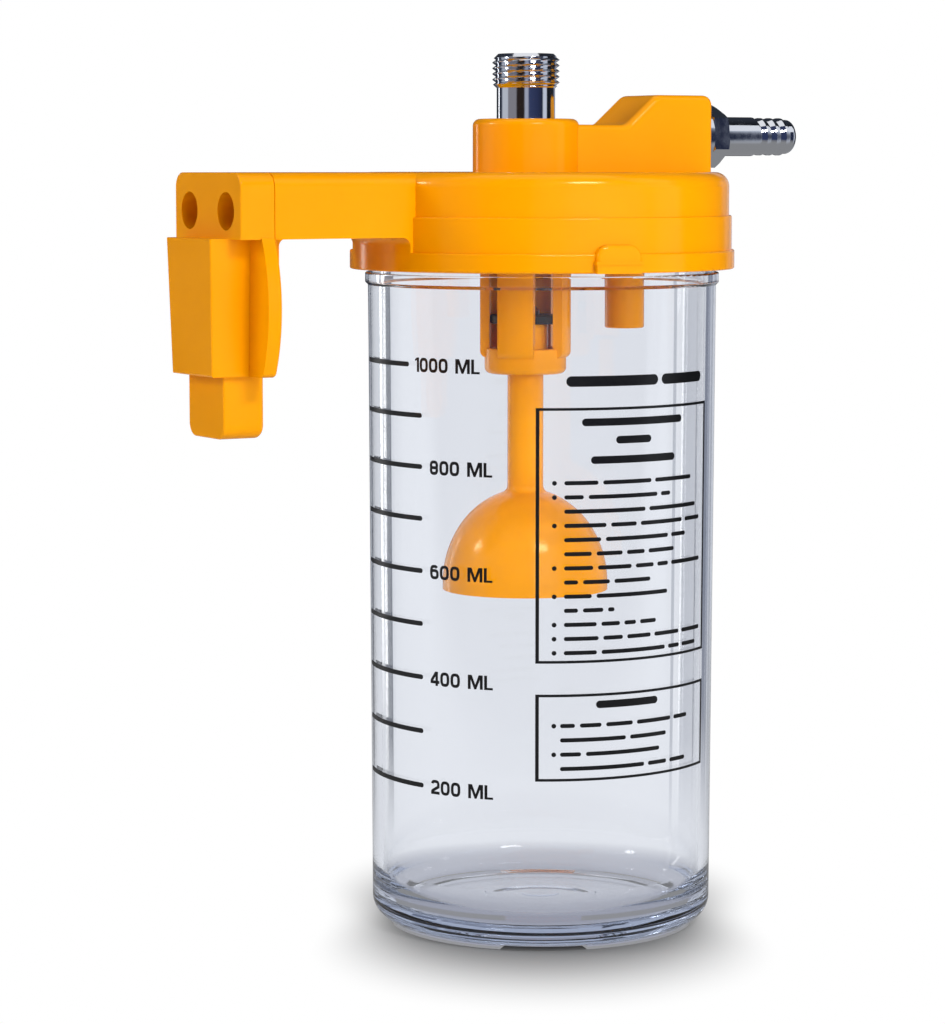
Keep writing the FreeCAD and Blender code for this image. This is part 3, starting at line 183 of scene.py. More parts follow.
# Thin cards behind the jar, seen through the glass too, that draw the lines along the clear wall's edges:
# angles, shade and strength, with radius and top in metres
EDGE_CARDS = (
    ((73, 79), "#484E5A", 1.0), ((22, 33), "#8E94A4", 1.0), ((35, 48), "#BCC0CA", 1.0),
    ((105, 109), "#FFFFFF", 4.0),
)
EDGE_CARD_R = 1.4
EDGE_CARD_HIGH = 0.5
# Bright card high above the front right, for the hose barb's upper side: angles, radius and heights in
# metres, and shade
BARB_CARD_DEG = (302, 335)
BARB_CARD_R = 1.45
BARB_CARD_Z = (0.95, 2.4)
BARB_CARD_SHADE = "#F4F6FA"

# Painted soft shadow round the foot, metres: where it starts, and its reach to the sides and to the front
SHADOW_START = 0.035
SHADOW_SIDE = 0.028
SHADOW_FRONT = 0.082

# Floor: its colour in the painted shadow round the foot and in the light, its glow in chrome, and the
# painted shade that the glass shows under the jar and in front of it
PAINTED_SHADOW_FLOOR = "#8A8B8E"
LIT_FLOOR = "#E4E4E4"
MIRRORED_FLOOR = 0.3
PAINTED_SHADE_UNDER_JAR = "#9FA2B0"
PAINTED_SHADE_BEFORE_JAR = "#9A9EAC"
# Where one shade runs into the next, metres: out from the axis, or along the line of view
UNDER_RUN = (("From Min", 0.045), ("From Max", 0.08))
BEHIND_RUN = (("From Min", -0.25), ("From Max", -0.09))
OPEN_RUN = (("From Min", 0.1), ("From Max", 0.3))
MIRROR_OPEN_RUN = (("From Min", 0.35), ("From Max", 0.8))
# Half the floor's side, metres
FLOOR_HALF = 6.0

# Bounces that light needs inside the clear wall and the thick foot
MAX_BOUNCES = 24
GLOSSY_BOUNCES = 16
TRANSMISSION_BOUNCES = 20


def linear(code):
    """Linear RGBA of an sRGB hex colour."""
    channels = [int(code[i:i + 2], 16) / 255 for i in (1, 3, 5)]
    return [c / 12.92 if c <= 0.04045 else ((c + 0.055) / 1.055) ** 2.4 for c in channels] + [1.0]


def node(tree, kind, settings=(), **links):
    """Adds one shader node with its settings and links.

    Settings are (name or number, value) of an input or of the node itself. Links are input=socket, where
    i0 is input number 0 and an underscore stands for a space.
    """
    made = tree.nodes.new(kind)
    for name, value in settings:
        if isinstance(name, int) or name in made.inputs:
            made.inputs[name].default_value = value
        else:
            setattr(made, name, value)
    for name, socket in links.items():
        key = int(name[1:]) if name[0] == "i" and name[1:].isdigit() else name.replace("_", " ")
        tree.links.new(made.inputs[key], socket)
    return made


def finish_of(name):
    """New empty material and its shader tree, object coordinates and output."""
    material = bpy.data.materials.new(name)
    material.use_nodes = True
    tree = material.node_tree
    tree.nodes.clear()
    place = node(tree, "ShaderNodeTexCoord").outputs["Object"]
    output = node(tree, "ShaderNodeOutputMaterial")
    return material, tree, place, output


def moulded_orange():
    """Injection-moulded ABS, pigmented orange: even gloss, with a faint flow mottle about 18 mm across,
    sink waves of 26 mm and an orange peel of 2 mm, which is drawn coarser than life so that it shows.
    """
    material, tree, place, output = finish_of("moulded_orange_abs")
    flow = node(tree, "ShaderNodeTexNoise", [("Scale", 55.0), ("Detail", 3.0)], Vector=place)
    colour = node(tree, "ShaderNodeMix", [
        ("data_type", "RGBA"), (6, linear("#F59B00")), (7, linear("#FCA400"))], i0=flow.outputs["Fac"])
    peel = node(tree, "ShaderNodeTexNoise", [("Scale", 520.0), ("Detail", 2.0)], Vector=place)
    sink = node(tree, "ShaderNodeTexNoise", [("Scale", 38.0), ("Detail", 1.0)], Vector=place)
    height = node(tree, "ShaderNodeMath", [("operation", "MULTIPLY_ADD"), (1, 6.0)],
                  i0=sink.outputs["Fac"], i2=peel.outputs["Fac"])
    bump = node(tree, "ShaderNodeBump", [("Strength", 0.12), ("Distance", 0.00006)], Height=height.outputs[0])
    rough = node(tree, "ShaderNodeMapRange", [("To Min", 0.12), ("To Max", 0.2)], Value=flow.outputs["Fac"])
    shader = node(tree, "ShaderNodeBsdfPrincipled", [
        ("IOR", 1.5), ("Specular IOR Level", 0.4), ("Specular Tint", linear("#FFDCAA"))],
        Base_Color=colour.outputs[2], Roughness=rough.outputs[0], Normal=bump.outputs[0])
    tree.links.new(output.inputs[0], shader.outputs[0])
    return material


def clear_jar():
    """Moulded polycarbonate, water clear with a faint blue cast, with soft upright waves about 17 mm apart
    that the mould leaves. Light and shadow pass straight through it, less so near the thick foot.
    """
    material, tree, place, output = finish_of("clear_moulded_polycarbonate")
    spread = node(tree, "ShaderNodeMapping", [("Scale", (1.0, 1.0, 0.06))], Vector=place)
    waves = node(tree, "ShaderNodeTexNoise", [("Scale", 60.0), ("Detail", 1.0)], Vector=spread.outputs[0])
    bump = node(tree, "ShaderNodeBump", [("Strength", 0.25), ("Distance", 0.0002)],
                Height=waves.outputs["Fac"])
    shader = node(tree, "ShaderNodeBsdfPrincipled", [
        ("Base Color", linear("#FFFFFF")), ("Transmission Weight", 1.0), ("IOR", 1.5), ("Roughness", 0.0)],
        Normal=bump.outputs[0])
    depth = node(tree, "ShaderNodeVolumeAbsorption", [("Color", (0.885, 0.9, 0.93, 1.0)), ("Density", 90.0)])
    tree.links.new(output.inputs["Volume"], depth.outputs[0])
    rays = node(tree, "ShaderNodeLightPath")
    height = node(tree, "ShaderNodeSeparateXYZ", i0=place).outputs["Z"]
    share = node(tree, "ShaderNodeMapRange", [
        ("From Min", 0.014), ("From Max", 0.034), ("To Min", 0.3), ("To Max", 1.0)], Value=height)
    passing = node(tree, "ShaderNodeBsdfTransparent", Color=share.outputs[0])
    lit = node(tree, "ShaderNodeMixShader", i0=rays.outputs["Is Diffuse Ray"],
               i1=shader.outputs[0], i2=passing.outputs[0])
    whole = node(tree, "ShaderNodeMixShader", i0=rays.outputs["Is Shadow Ray"],
                 i1=lit.outputs[0], i2=passing.outputs[0])
    tree.links.new(output.inputs[0], whole.outputs[0])
    return material


def plated_chrome():
    """Bright chrome plate on turned brass: mirror gloss, with soft blotches about 2.4 mm across."""
    material, tree, place, output = finish_of("bright_chrome_plate")
    blotch = node(tree, "ShaderNodeTexNoise", [("Scale", 420.0), ("Detail", 3.0)], Vector=place)
    bump = node(tree, "ShaderNodeBump", [("Strength", 0.1), ("Distance", 0.00008)],
                Height=blotch.outputs["Fac"])
    rough = node(tree, "ShaderNodeMapRange", [
        ("From Min", 0.3), ("From Max", 0.7), ("To Min", 0.05), ("To Max", 0.12)],
        Value=blotch.outputs["Fac"])
    shader = node(tree, "ShaderNodeBsdfPrincipled", [
        ("Base Color", linear("#DCDFE6")), ("Metallic", 1.0)],
        Roughness=rough.outputs[0], Normal=bump.outputs[0])
    tree.links.new(output.inputs[0], shader.outputs[0])
    return material


def plain_finish(name, code, metallic, rough_low, rough_high, grain_scale, grain_depth):
    """Finish with one noise, 1 / grain_scale metres across, that varies its roughness and raises a grain."""
    material, tree, place, output = finish_of(name)
    grain = node(tree, "ShaderNodeTexNoise", [("Scale", grain_scale), ("Detail", 3.0)], Vector=place)
    bump = node(tree, "ShaderNodeBump", [("Strength", 0.3), ("Distance", grain_depth)],
                Height=grain.outputs["Fac"])
    rough = node(tree, "ShaderNodeMapRange", [
        ("From Min", 0.3), ("From Max", 0.7), ("To Min", rough_low), ("To Max", rough_high)],
        Value=grain.outputs["Fac"])
    shader = node(tree, "ShaderNodeBsdfPrincipled", [
        ("Base Color", linear(code)), ("Metallic", metallic)],
        Roughness=rough.outputs[0], Normal=bump.outputs[0])
    tree.links.new(output.inputs[0], shader.outputs[0])
    return material


def wall_radius(z):
    """Outer radius of the jar's wall at height z, a straight taper."""
    share = (z - WALL_Z_LOW) / (WALL_Z_HIGH - WALL_Z_LOW)
    return WALL_R_LOW + (WALL_R_HIGH - WALL_R_LOW) * share


def on_wall(angle_deg, z):
    """Points on the jar's wall at angle and height, just proud of it, in metres."""
    radius = (wall_radius(z) + INK_LIFT) * MM
    angle = np.radians(angle_deg)
    return np.stack([radius * np.cos(angle), radius * np.sin(angle), z * MM], -1)


def grid_faces(rows, columns, close_rows=False, close_columns=False):
    """Quads of a grid of points numbered row by row, facing along step in a row x step to the next row."""
    r = np.arange(rows if close_rows else rows - 1)
    c = np.arange(columns if close_columns else columns - 1)
    r, c = [a.ravel() for a in np.meshgrid(r, c, indexing="ij")]
    r2 = (r + 1) % rows
    c2 = (c + 1) % columns
    return np.stack([r * columns + c, r * columns + c2, r2 * columns + c2, r2 * columns + c], -1)


def add_piece(name, points, faces, material, body, smooth=True):
    """One mesh object from an array of points and a list of faces, riding on a body."""
    mesh = bpy.data.meshes.new(name)
    mesh.from_pydata(points.reshape(-1, 3).tolist(), [], faces)
    mesh.materials.append(material)
    mesh.polygons.foreach_set("use_smooth", np.full(len(mesh.polygons), smooth))
    mesh.update()
    piece = bpy.data.objects.new(name, mesh)
    bpy.context.scene.collection.objects.link(piece)
    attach(piece, body)
    return piece


def ink_bar(start_deg, length, z, height):
    """Bar on the wall with round ends: half height h * sqrt(1 - e * e), e = how far into an end, 0 to 1."""
    end_share = height / length / 2
    count = max(3, int(length / wall_radius(z) / math.radians(INK_STEP_DEG)))
    middle = np.linspace(end_share, 1 - end_share, count)
    turn = np.linspace(0, math.pi / 2, INK_END_POINTS)[:-1]
    start = end_share * (1 - np.cos(turn))
    along = np.concatenate([start, middle, 1 - start[::-1]])
    into_end = np.clip(1 - np.minimum(along, 1 - along) / end_share, 0, 1)
    half = np.maximum(height / 2 * np.sqrt(1 - into_end ** 2), height * INK_END_LEAST)
    angle = start_deg + np.degrees(along * length / wall_radius(z))
    points = np.stack([on_wall(angle, z - half), on_wall(angle, z + half)])
    return points.reshape(-1, 3), grid_faces(2, len(along))


def ink_block(start_deg, end_deg, low_z, high_z):
    """Square-cornered patch on the wall between two angles and two heights."""
    count = max(2, int((end_deg - start_deg) / INK_STEP_DEG) + 1)
    angle = np.linspace(start_deg, end_deg, count)
    points = np.stack([on_wall(angle, np.full(count, low_z)), on_wall(angle, np.full(count, high_z))])
    return points.reshape(-1, 3), grid_faces(2, count)


def join(parts):
    """Joins (points, faces) parts into one pair."""
    points, faces, first = [], [], 0
    for part_points, part_faces in parts:
        points.append(part_points)
        faces += (np.asarray(part_faces) + first).tolist()
        first += len(part_points)
    return np.concatenate(points), faces


def scale_z(hundreds):
    """Height of a scale mark from its volume in hundreds of ml."""
    t = hundreds - FIRST_MARK
    return SCALE_BASE_Z + SCALE_RISE * t - SCALE_BEND * t * t


def printed(name, parts, ink):
    """Printed film on the jar: the parts joined, with the ink's small thickness."""
    points, faces = join(parts)
    piece = add_piece(name, points, faces, ink, "jar", smooth=False)
    film = piece.modifiers.new("ink_film", "SOLIDIFY")
    film.thickness = INK_FILM * MM
    film.offset = 1.0


def ribbon(path, closed=False):
    """Stroke of even width along a flat path.

    Each side is the path plus or minus half the width along the mean of the normals before and after the
    point, divided by 1 + their dot product, which keeps the width through a corner.
    """
    path = np.asarray(path, float)
    ahead = np.roll(path, -1, 0) - path
    if not closed:
        ahead[-1] = ahead[-2]
    ahead /= np.linalg.norm(ahead, axis=1)[:, None]
    after = np.stack([-ahead[:, 1], ahead[:, 0]], 1)
    before = np.roll(after, 1, 0)
    if not closed:
        before[0] = after[0]
    offset = (after + before) / (1 + (after * before).sum(1))[:, None] * STROKE / 2
    points = np.concatenate([path - offset, path + offset])
    return points, grid_faces(2, len(path), close_columns=closed)


def patch(corners):
    """One flat face from its corners, counted anticlockwise."""
    return np.asarray(corners, float), [list(range(len(corners)))]


def upright(left, low, high):
    """Straight vertical stroke."""
    return patch([(left, low), (left + STROKE, low), (left + STROKE, high), (left, high)])


def bow(centre, half_width, half_height, from_deg, to_deg, count=20):
    """Arc of a superellipse of power 3: x = a * cos^(2/3), y = b * sin^(2/3), each with its sign kept."""
    turn = np.radians(np.linspace(from_deg, to_deg, count))
    wide, tall = [np.sign(f(turn)) * np.abs(f(turn)) ** (2 / 3) for f in (np.cos, np.sin)]
    return np.stack([centre[0] + half_width * wide, centre[1] + half_height * tall], 1)


def glyph(sign):
    """Flat parts of one scale figure, its lower left corner at the origin, and the width it takes.

    Bare numbers are millimetres in the figure's own box. A figure that isn't named here is the letter M.
    """
    edge = STROKE / 2
    middle = (DIGIT_WIDTH / 2, CAP_HEIGHT / 2)
    wide = DIGIT_WIDTH / 2 - edge
    tall = CAP_HEIGHT / 2 - edge
    if sign == "0":
        return [ribbon(bow(middle, wide, tall, 0, 352, 45), True)], DIGIT_WIDTH
    if sign == "8":
        ring = bow(middle, wide, tall, 0, 352, 45)
        waist = 1 - 0.16 * np.exp(-((ring[:, 1] - middle[1]) / 0.45) ** 2)
        ring[:, 0] = middle[0] + (ring[:, 0] - middle[0]) * waist
        bar = patch([(0.85, middle[1] - edge), (DIGIT_WIDTH - 0.85, middle[1] - edge),
                     (DIGIT_WIDTH - 0.85, middle[1] + edge), (0.85, middle[1] + edge)])
        return [ribbon(ring, True), bar], DIGIT_WIDTH
    if sign == "6":
        bowl = (middle[0], edge + 1.0)
        back = bow(middle, wide, tall, 42, 262, 26)
        return [ribbon(np.concatenate([back, bow(bowl, wide, 1.0, 278, 500, 26)]))], DIGIT_WIDTH
    if sign == "2":
        head = bow((middle[0], 2.55), wide, 1.1, 165, -12, 22)
        foot = [(0.62, 1.05), (edge, 0.72), (edge, edge), (DIGIT_WIDTH, edge)]
        return [ribbon(np.concatenate([head, foot]))], DIGIT_WIDTH
    if sign == "4":
        arm = ribbon([(2.0, 3.8), (0.5, 1.6), (edge, 1.3), (edge, 1.05), (DIGIT_WIDTH + 0.1, 1.05)])
        return [arm, upright(1.75, 0, 0.7), upright(1.75, 1.4, CAP_HEIGHT)], DIGIT_WIDTH
    if sign == "1":
        flag = patch([(0.1, 2.95), (0.8, 3.3), (0.8, CAP_HEIGHT), (0.1, 3.5)])
        return [flag, upright(0.8, 0, CAP_HEIGHT)], ONE_WIDTH
    if sign == "L":
        foot = patch([(STROKE, 0), (L_WIDTH, 0), (L_WIDTH, 0.62), (STROKE, 0.62)])
        return [upright(0, 0, CAP_HEIGHT), foot], L_WIDTH
    half = M_WIDTH / 2
    slope = np.array([(STROKE, CAP_HEIGHT), (STROKE, 2.7), (half - 0.28, 0), (half, 0), (half, 1.3),
                      (STROKE + 0.35, CAP_HEIGHT)])
    mirrored = (slope * (-1, 1) + (M_WIDTH, 0))[::-1]
    return [upright(0, 0, CAP_HEIGHT), patch(slope), patch(mirrored),
            upright(M_WIDTH - STROKE, 0, CAP_HEIGHT)], M_WIDTH


def figures(words, start_deg, z):
    """Row of scale figures bent round the wall, centred on height z."""
    parts, along = [], 0.0
    for sign in words:
        if sign == " ":
            along += WORD_GAP
            continue
        pieces, width = glyph(sign)
        for points, faces in pieces:
            angle = start_deg + np.degrees((along + points[:, 0]) / wall_radius(z))
            parts.append((on_wall(angle, z - CAP_HEIGHT / 2 + points[:, 1]), faces))
        along += width + LETTER_GAP
    return parts


def make_scale(ink):
    """Marks every 100 ml from 200 to 1000, numbers beside every second one."""
    ticks, numbers = [], []
    for hundreds in range(FIRST_MARK, TOP_MARK + 1):
        z = scale_z(hundreds)
        top = hundreds == TOP_MARK
        end_deg = TOP_TICK_END_DEG if top else TICK_END_DEG
        length = math.radians(end_deg - TICK_START_DEG) * wall_radius(z)
        ticks.append(ink_bar(TICK_START_DEG, length, z, TICK_HEIGHT))
        if hundreds % 2 == 0:
            numbers += figures(f"{hundreds}00 ML", TOP_NUMBER_START_DEG if top else NUMBER_START_DEG, z)
    printed("scale_marks", ticks, ink)
    printed("scale_numbers", numbers, ink)


def word_row(z, start_deg, end_deg, words, height=BAR_HEIGHT):
    """Row of word-long bars between two angles: words are relative lengths, one gap apart."""
    span = math.radians(end_deg - start_deg) * wall_radius(z) - BAR_GAP * (len(words) - 1)
    parts, angle = [], start_deg
    for share in words:
        length = span * share / sum(words)
        parts.append(ink_bar(angle, length, z, height))
        angle += math.degrees((length + BAR_GAP) / wall_radius(z))
    return parts


def panel_frame(high_z, low_z):
    """Four lines of a panel's border."""
    line_deg = math.degrees(PANEL_UPRIGHT / wall_radius(low_z))
    return [
        ink_block(PANEL_LEFT_DEG, PANEL_RIGHT_DEG, high_z - PANEL_LINE, high_z),
        ink_block(PANEL_LEFT_DEG, PANEL_RIGHT_DEG, low_z, low_z + PANEL_LINE),
        ink_block(PANEL_LEFT_DEG, PANEL_LEFT_DEG + line_deg, low_z + PANEL_LINE, high_z - PANEL_LINE),
        ink_block(PANEL_RIGHT_DEG - line_deg, PANEL_RIGHT_DEG, low_z + PANEL_LINE, high_z - PANEL_LINE),
    ]


def make_panels(ink):
    """Two bordered panels and a heading, all wording left as plain bars and dots."""
    parts = panel_frame(*UPPER_PANEL) + panel_frame(*LOWER_PANEL)
    for heading in HEADINGS:
        parts += word_row(*heading)
    for lines, top_z, step, start_deg in LINE_BLOCKS:
        for index, (dotted, end_deg, words) in enumerate(lines):
            z = top_z - index * step
            parts += word_row(z, start_deg, end_deg, words)
            if dotted:
                parts.append(ink_bar(DOT_START_DEG, DOT_LENGTH, z, DOT_HEIGHT))
    printed("panel_print", parts, ink)


def make_port(chrome):
    """Nipple turned from one profile, its blank cut by a fine V thread.

    Radius on the outside = the smaller of the turned profile and crest - depth * v. There v is
    flank * (1 - |2 * p - 1|) - flat, held between 0 and 1, and p is the fraction of height / pitch - turn,
    so the groove climbs to the right. Each run of the profile is divided evenly, finely at the thread.
    """
    corners = np.array(PORT_PROFILE)
    runs = []
    for index, near in enumerate(corners):
        far = corners[(index + 1) % len(corners)]
        steps = 2
        if FINE_RUNS[0] <= index <= FINE_RUNS[1]:
            steps = max(8, int(np.hypot(*(far - near)) / FINE_STEP))
        runs.append(near + (far - near) * np.linspace(0, 1, steps, endpoint=False)[:, None])
    profile = np.concatenate(runs)
    turns = np.linspace(0, 1, PORT_SEGMENTS, endpoint=False)
    radius = np.repeat(profile[:, :1], len(turns), 1)
    height = np.repeat(profile[:, 1:], len(turns), 1)
    phase = (height / THREAD_PITCH - turns) % 1
    groove = np.clip(THREAD_FLANK * (1 - np.abs(2 * phase - 1)) - THREAD_CREST_FLAT, 0, 1)
    cut = THREAD_CREST_R - THREAD_DEPTH * groove
    threaded = (height > THREAD_LOW_Z) & (height < THREAD_HIGH_Z) & (radius > THREAD_LEAST_R)
    radius = np.where(threaded, np.minimum(radius, cut), radius)
    angle = turns * 2 * math.pi
    points = np.stack([
        (radius * np.cos(angle) + PORT_AXIS_X) * MM, radius * np.sin(angle) * MM, height * MM], -1)
    faces = grid_faces(*radius.shape, True, True).tolist()
    piece = add_piece("threaded_port", points, faces, chrome, "lid")
    piece.data.set_sharp_from_angle(angle=math.radians(PORT_SHARP_DEG))
    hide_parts("vacuum_port")


def dress_nodes(finishes):
    """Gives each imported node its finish."""
    for name, packed in nodes.items():
        packed.data.materials.clear()
        packed.data.materials.append(finishes[name])


def make_camera():
    """Camera at the photograph's place, looking slightly down."""
    data = bpy.data.cameras.new("camera")
    data.lens = CAMERA_LENS
    data.clip_start, data.clip_end = CAMERA_CLIP
    camera = bpy.data.objects.new("camera", data)
    camera.location = [c * MM for c in CAMERA_PLACE]
    camera.rotation_euler = (math.radians(90 - CAMERA_PITCH_DEG), 0, math.radians(CAMERA_AZIMUTH_DEG))
    bpy.context.scene.collection.objects.link(camera)
    bpy.context.scene.camera = camera


def soft_lamp(name, polar_deg, height_deg, distance, size, power, aim, mirrored):
    """Rectangular soft lamp, aimed from an angle round the jar and an angle above the horizon."""
    data = bpy.data.lights.new(name, "AREA")
    data.energy = power
    data.shape = "RECTANGLE"
    data.size, data.size_y = size
    lamp = bpy.data.objects.new(name, data)
    polar, height = math.radians(polar_deg), math.radians(height_deg)
    way = np.array([math.cos(height) * math.cos(polar), math.cos(height) * math.sin(polar), math.sin(height)])
    lamp.location = (np.array(aim) + way * distance).tolist()
    lamp.rotation_euler = (math.pi / 2 - height, 0, polar + math.pi / 2)
    lamp.visible_camera = False
    lamp.visible_glossy = mirrored
    lamp.visible_transmission = mirrored
    bpy.context.scene.collection.objects.link(lamp)
    return lamp


def surround_arc(name, shades, radius, low, high, through, strength=1.0):
    """Upright arc round the object with its own shade at each degree, straight between the listed ones."""
    degrees = np.arange(shades[0][0], shades[-1][0] + 1)
    angle = np.radians(degrees)
    ring = np.stack([np.cos(angle), np.sin(angle), 0 * angle], -1) * radius
    points = np.concatenate([ring + (0, 0, low), ring + (0, 0, high)])
    mesh = bpy.data.meshes.new(name)
    mesh.from_pydata(points.tolist(), [], grid_faces(2, len(angle)).tolist())
    listed = np.array([linear(code) for _, code in shades])
    tone = np.stack([np.interp(degrees, [at for at, _ in shades], listed[:, c]) for c in range(4)], -1)
    layer = mesh.color_attributes.new("shade", "FLOAT_COLOR", "POINT")
    layer.data.foreach_set("color", np.tile(tone, (2, 1)).ravel())
    material, tree, _, output = finish_of(name + "_shade")
    shade = node(tree, "ShaderNodeAttribute", [("attribute_name", "shade")])
    lit = node(tree, "ShaderNodeEmission", [("Strength", strength)], Color=shade.outputs["Color"])
    tree.links.new(output.inputs[0], lit.outputs[0])
    mesh.materials.append(material)
    piece = bpy.data.objects.new(name, mesh)
    piece.visible_camera = False
    piece.visible_diffuse = False
    piece.visible_shadow = False
    piece.visible_transmission = through
    bpy.context.scene.collection.objects.link(piece)


def by_ray(tree, rest, camera, mirror, glass):
    """Shader that differs for camera rays, mirror rays, transmission rays and the rest."""
    rays = node(tree, "ShaderNodeLightPath")
    whole = rest
    for name, own in (("Is Camera Ray", camera), ("Is Glossy Ray", mirror), ("Is Transmission Ray", glass)):
        whole = node(tree, "ShaderNodeMixShader",
                     i0=rays.outputs[name], i1=whole.outputs[0], i2=own.outputs[0])
    return whole


def make_world():
    """White for the camera and chrome, near white through glass, and a low even light for the rest."""
    world = bpy.data.worlds.new("studio")
    bpy.context.scene.world = world
    world.use_nodes = True
    tree = world.node_tree
    tree.nodes.clear()
    output = node(tree, "ShaderNodeOutputWorld")
    low = node(tree, "ShaderNodeBackground", [("Color", linear("#FFFFFF")), ("Strength", WORLD_LIGHT)])
    white = node(tree, "ShaderNodeBackground", [("Color", linear("#FFFFFF")), ("Strength", 1.0)])
    behind = node(tree, "ShaderNodeBackground", [("Color", linear(THROUGH_GLASS)), ("Strength", 1.0)])
    tree.links.new(output.inputs[0], by_ray(tree, low, white, white, behind).outputs[0])


def painted_shadow_edge(tree, apart, beyond):
    """How far out of the painted soft shadow round the foot a point is, 0 to 1.

    Smoothstep of (distance - start) / (side reach + (front reach - side reach) * f), where f is the square
    of the share of the distance that lies along the line of view.
    """
    along = node(tree, "ShaderNodeMath", [("operation", "ABSOLUTE")], i0=beyond).outputs[0]
    share = node(tree, "ShaderNodeMath", [("operation", "DIVIDE")], i0=along, i1=apart).outputs[0]
    squared = node(tree, "ShaderNodeMath", [("operation", "POWER"), (1, 2.0)], i0=share).outputs[0]
    reach = node(tree, "ShaderNodeMapRange", [
        ("To Min", SHADOW_SIDE), ("To Max", SHADOW_FRONT)], Value=squared).outputs[0]
    past = node(tree, "ShaderNodeMath", [("operation", "SUBTRACT"), (1, SHADOW_START)], i0=apart).outputs[0]
    fade = node(tree, "ShaderNodeMath", [("operation", "DIVIDE")], i0=past, i1=reach).outputs[0]
    return node(tree, "ShaderNodeMapRange", [("interpolation_type", "SMOOTHSTEP")], Value=fade).outputs[0]


def make_floor():
    """Pale floor: white to the camera but for a painted soft shadow round the foot, which the lamps' own
    shadows darken further.

    Chrome mirrors an even floor. Glass shows one with painted shade under the jar and in front of it. Far
    out it is open to both, so that they see the surround.
    """
    material, tree, place, output = finish_of("pale_studio_floor")
    azimuth = math.radians(CAMERA_AZIMUTH_DEG)
    away = (-math.sin(azimuth), math.cos(azimuth), 0)
    apart = node(tree, "ShaderNodeVectorMath", [("operation", "LENGTH")], i0=place).outputs["Value"]
    beyond = node(tree, "ShaderNodeVectorMath", [
        ("operation", "DOT_PRODUCT"), (1, away)], i0=place).outputs["Value"]
    lit = node(tree, "ShaderNodeBsdfDiffuse", [("Color", linear(LIT_FLOOR))])
    # Painted soft shadow round the foot: a darker floor colour blended into white by distance from the axis
    painted_shadow = node(tree, "ShaderNodeBsdfDiffuse", [("Color", linear(PAINTED_SHADOW_FLOOR))])
    white = node(tree, "ShaderNodeEmission", [("Color", linear("#FFFFFF")), ("Strength", 1.0)])
    direct = node(tree, "ShaderNodeMixShader",
                  i0=painted_shadow_edge(tree, apart, beyond), i1=painted_shadow.outputs[0], i2=white.outputs[0])
    gone = node(tree, "ShaderNodeBsdfTransparent")
    near = node(tree, "ShaderNodeEmission", [("Color", linear("#FFFFFF")), ("Strength", MIRRORED_FLOOR)])
    out = node(tree, "ShaderNodeMapRange", MIRROR_OPEN_RUN, Value=apart).outputs[0]
    mirrored = node(tree, "ShaderNodeMixShader", i0=out, i1=near.outputs[0], i2=gone.outputs[0])
    # Painted shade on the floor as the glass shows it: grey in front of the jar, pale behind it
    before = node(tree, "ShaderNodeEmission", [("Color", linear(PAINTED_SHADE_BEFORE_JAR)), ("Strength", 1.0)])
    behind = node(tree, "ShaderNodeEmission", [("Color", linear(THROUGH_GLASS)), ("Strength", 1.0)])
    back = node(tree, "ShaderNodeMapRange", BEHIND_RUN, Value=beyond).outputs[0]
    through = node(tree, "ShaderNodeMixShader", i0=back, i1=before.outputs[0], i2=behind.outputs[0])
    far = node(tree, "ShaderNodeMapRange", OPEN_RUN, Value=beyond).outputs[0]
    through = node(tree, "ShaderNodeMixShader", i0=far, i1=through.outputs[0], i2=gone.outputs[0])
    # Painted shade under the jar, as the glass shows it through the foot
    under = node(tree, "ShaderNodeEmission", [("Color", linear(PAINTED_SHADE_UNDER_JAR)), ("Strength", 1.0)])
    round_jar = node(tree, "ShaderNodeMapRange", UNDER_RUN, Value=apart).outputs[0]
    through = node(tree, "ShaderNodeMixShader", i0=round_jar, i1=under.outputs[0], i2=through.outputs[0])
    tree.links.new(output.inputs[0], by_ray(tree, lit, direct, mirrored, through).outputs[0])
    half = FLOOR_HALF
    mesh = bpy.data.meshes.new("floor")
    corners = [(-half, -half, 0), (half, -half, 0), (half, half, 0), (-half, half, 0)]
    mesh.from_pydata(corners, [], [[0, 1, 2, 3]])
    mesh.materials.append(material)
    floor = bpy.data.objects.new("floor", mesh)
    bpy.context.scene.collection.objects.link(floor)


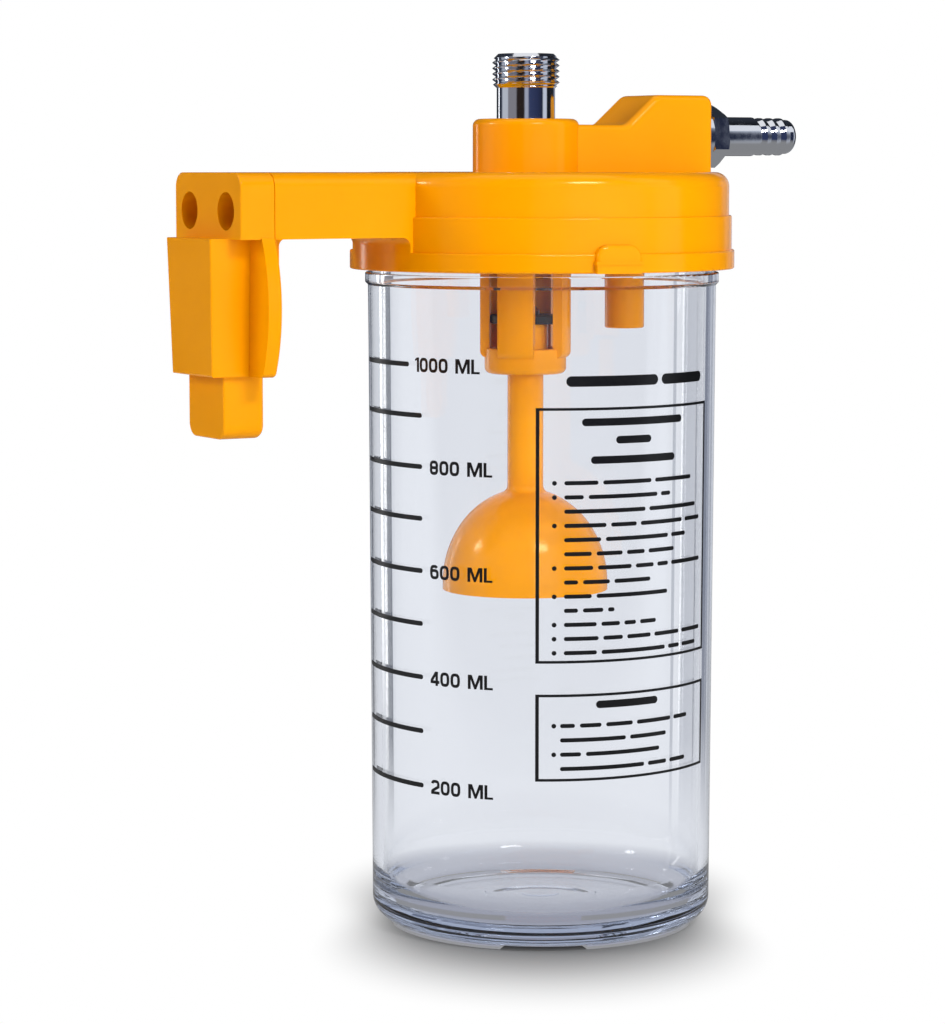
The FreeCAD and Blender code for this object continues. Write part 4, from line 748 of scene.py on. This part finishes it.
def make_studio():
    """Plain light level, white background, lamps and the surround that gloss and chrome mirror."""
    scene = bpy.context.scene
    scene.view_settings.view_transform = "Standard"
    scene.cycles.max_bounces = MAX_BOUNCES
    scene.cycles.glossy_bounces = GLOSSY_BOUNCES
    scene.cycles.transmission_bounces = TRANSMISSION_BOUNCES
    make_world()
    make_floor()
    lamps = {values[0]: soft_lamp(*values) for values in LAMPS}
    lit_inside = bpy.data.collections.new("lit_inside")
    for name in INNER_PIECES:
        lit_inside.objects.link(nodes[name])
    lamps[INNER_LAMP].light_linking.receiver_collection = lit_inside
    surround_arc("back_surround", BACK_SHADES, SURROUND_R, SURROUND_LOW, SURROUND_HIGH, False)
    surround_arc("front_surround", FRONT_SHADES, SURROUND_R, SURROUND_LOW, SURROUND_HIGH, False)
    barb_shades = tuple((at, BARB_CARD_SHADE) for at in BARB_CARD_DEG)
    surround_arc("barb_card", barb_shades, BARB_CARD_R, *BARB_CARD_Z, False)
    for index, (between, code, strength) in enumerate(EDGE_CARDS):
        shades = tuple((at, code) for at in between)
        surround_arc(f"edge_card_{index}", shades, EDGE_CARD_R, SURROUND_LOW, EDGE_CARD_HIGH, True, strength)


orange = moulded_orange()
jar_finish = clear_jar()
chrome = plated_chrome()
# Black nitrile rubber, moulded: deep black with a dull sheen
rubber = plain_finish("black_nitrile_rubber", "#1B1B1C", 0.0, 0.5, 0.7, 900.0, 0.00005)
# Stainless steel, turned: grey with a fine satin
steel = plain_finish("turned_stainless_steel", "#8D8F93", 1.0, 0.22, 0.4, 1500.0, 0.00003)
# Free-cutting brass, turned: soft yellow with a fine satin
brass = plain_finish("turned_brass", "#C8A45A", 1.0, 0.2, 0.35, 1500.0, 0.00003)
# Screen-printed black ink, slightly glossy
ink = plain_finish("screen_printed_black_ink", "#0B0B0D", 0.0, 0.3, 0.45, 1200.0, 0.00001)
slot_finish = {
    "clear_jar": jar_finish, "orange_plastic": orange, "chrome_plate": chrome,
    "black_rubber": rubber, "steel": steel, "brass_insert": brass,
}
dress_nodes({part["node"]: slot_finish[part["material_slot"]] for part in frame["record"]["subparts"]})
make_port(chrome)
make_scale(ink)
make_panels(ink)
make_camera()
make_studio()
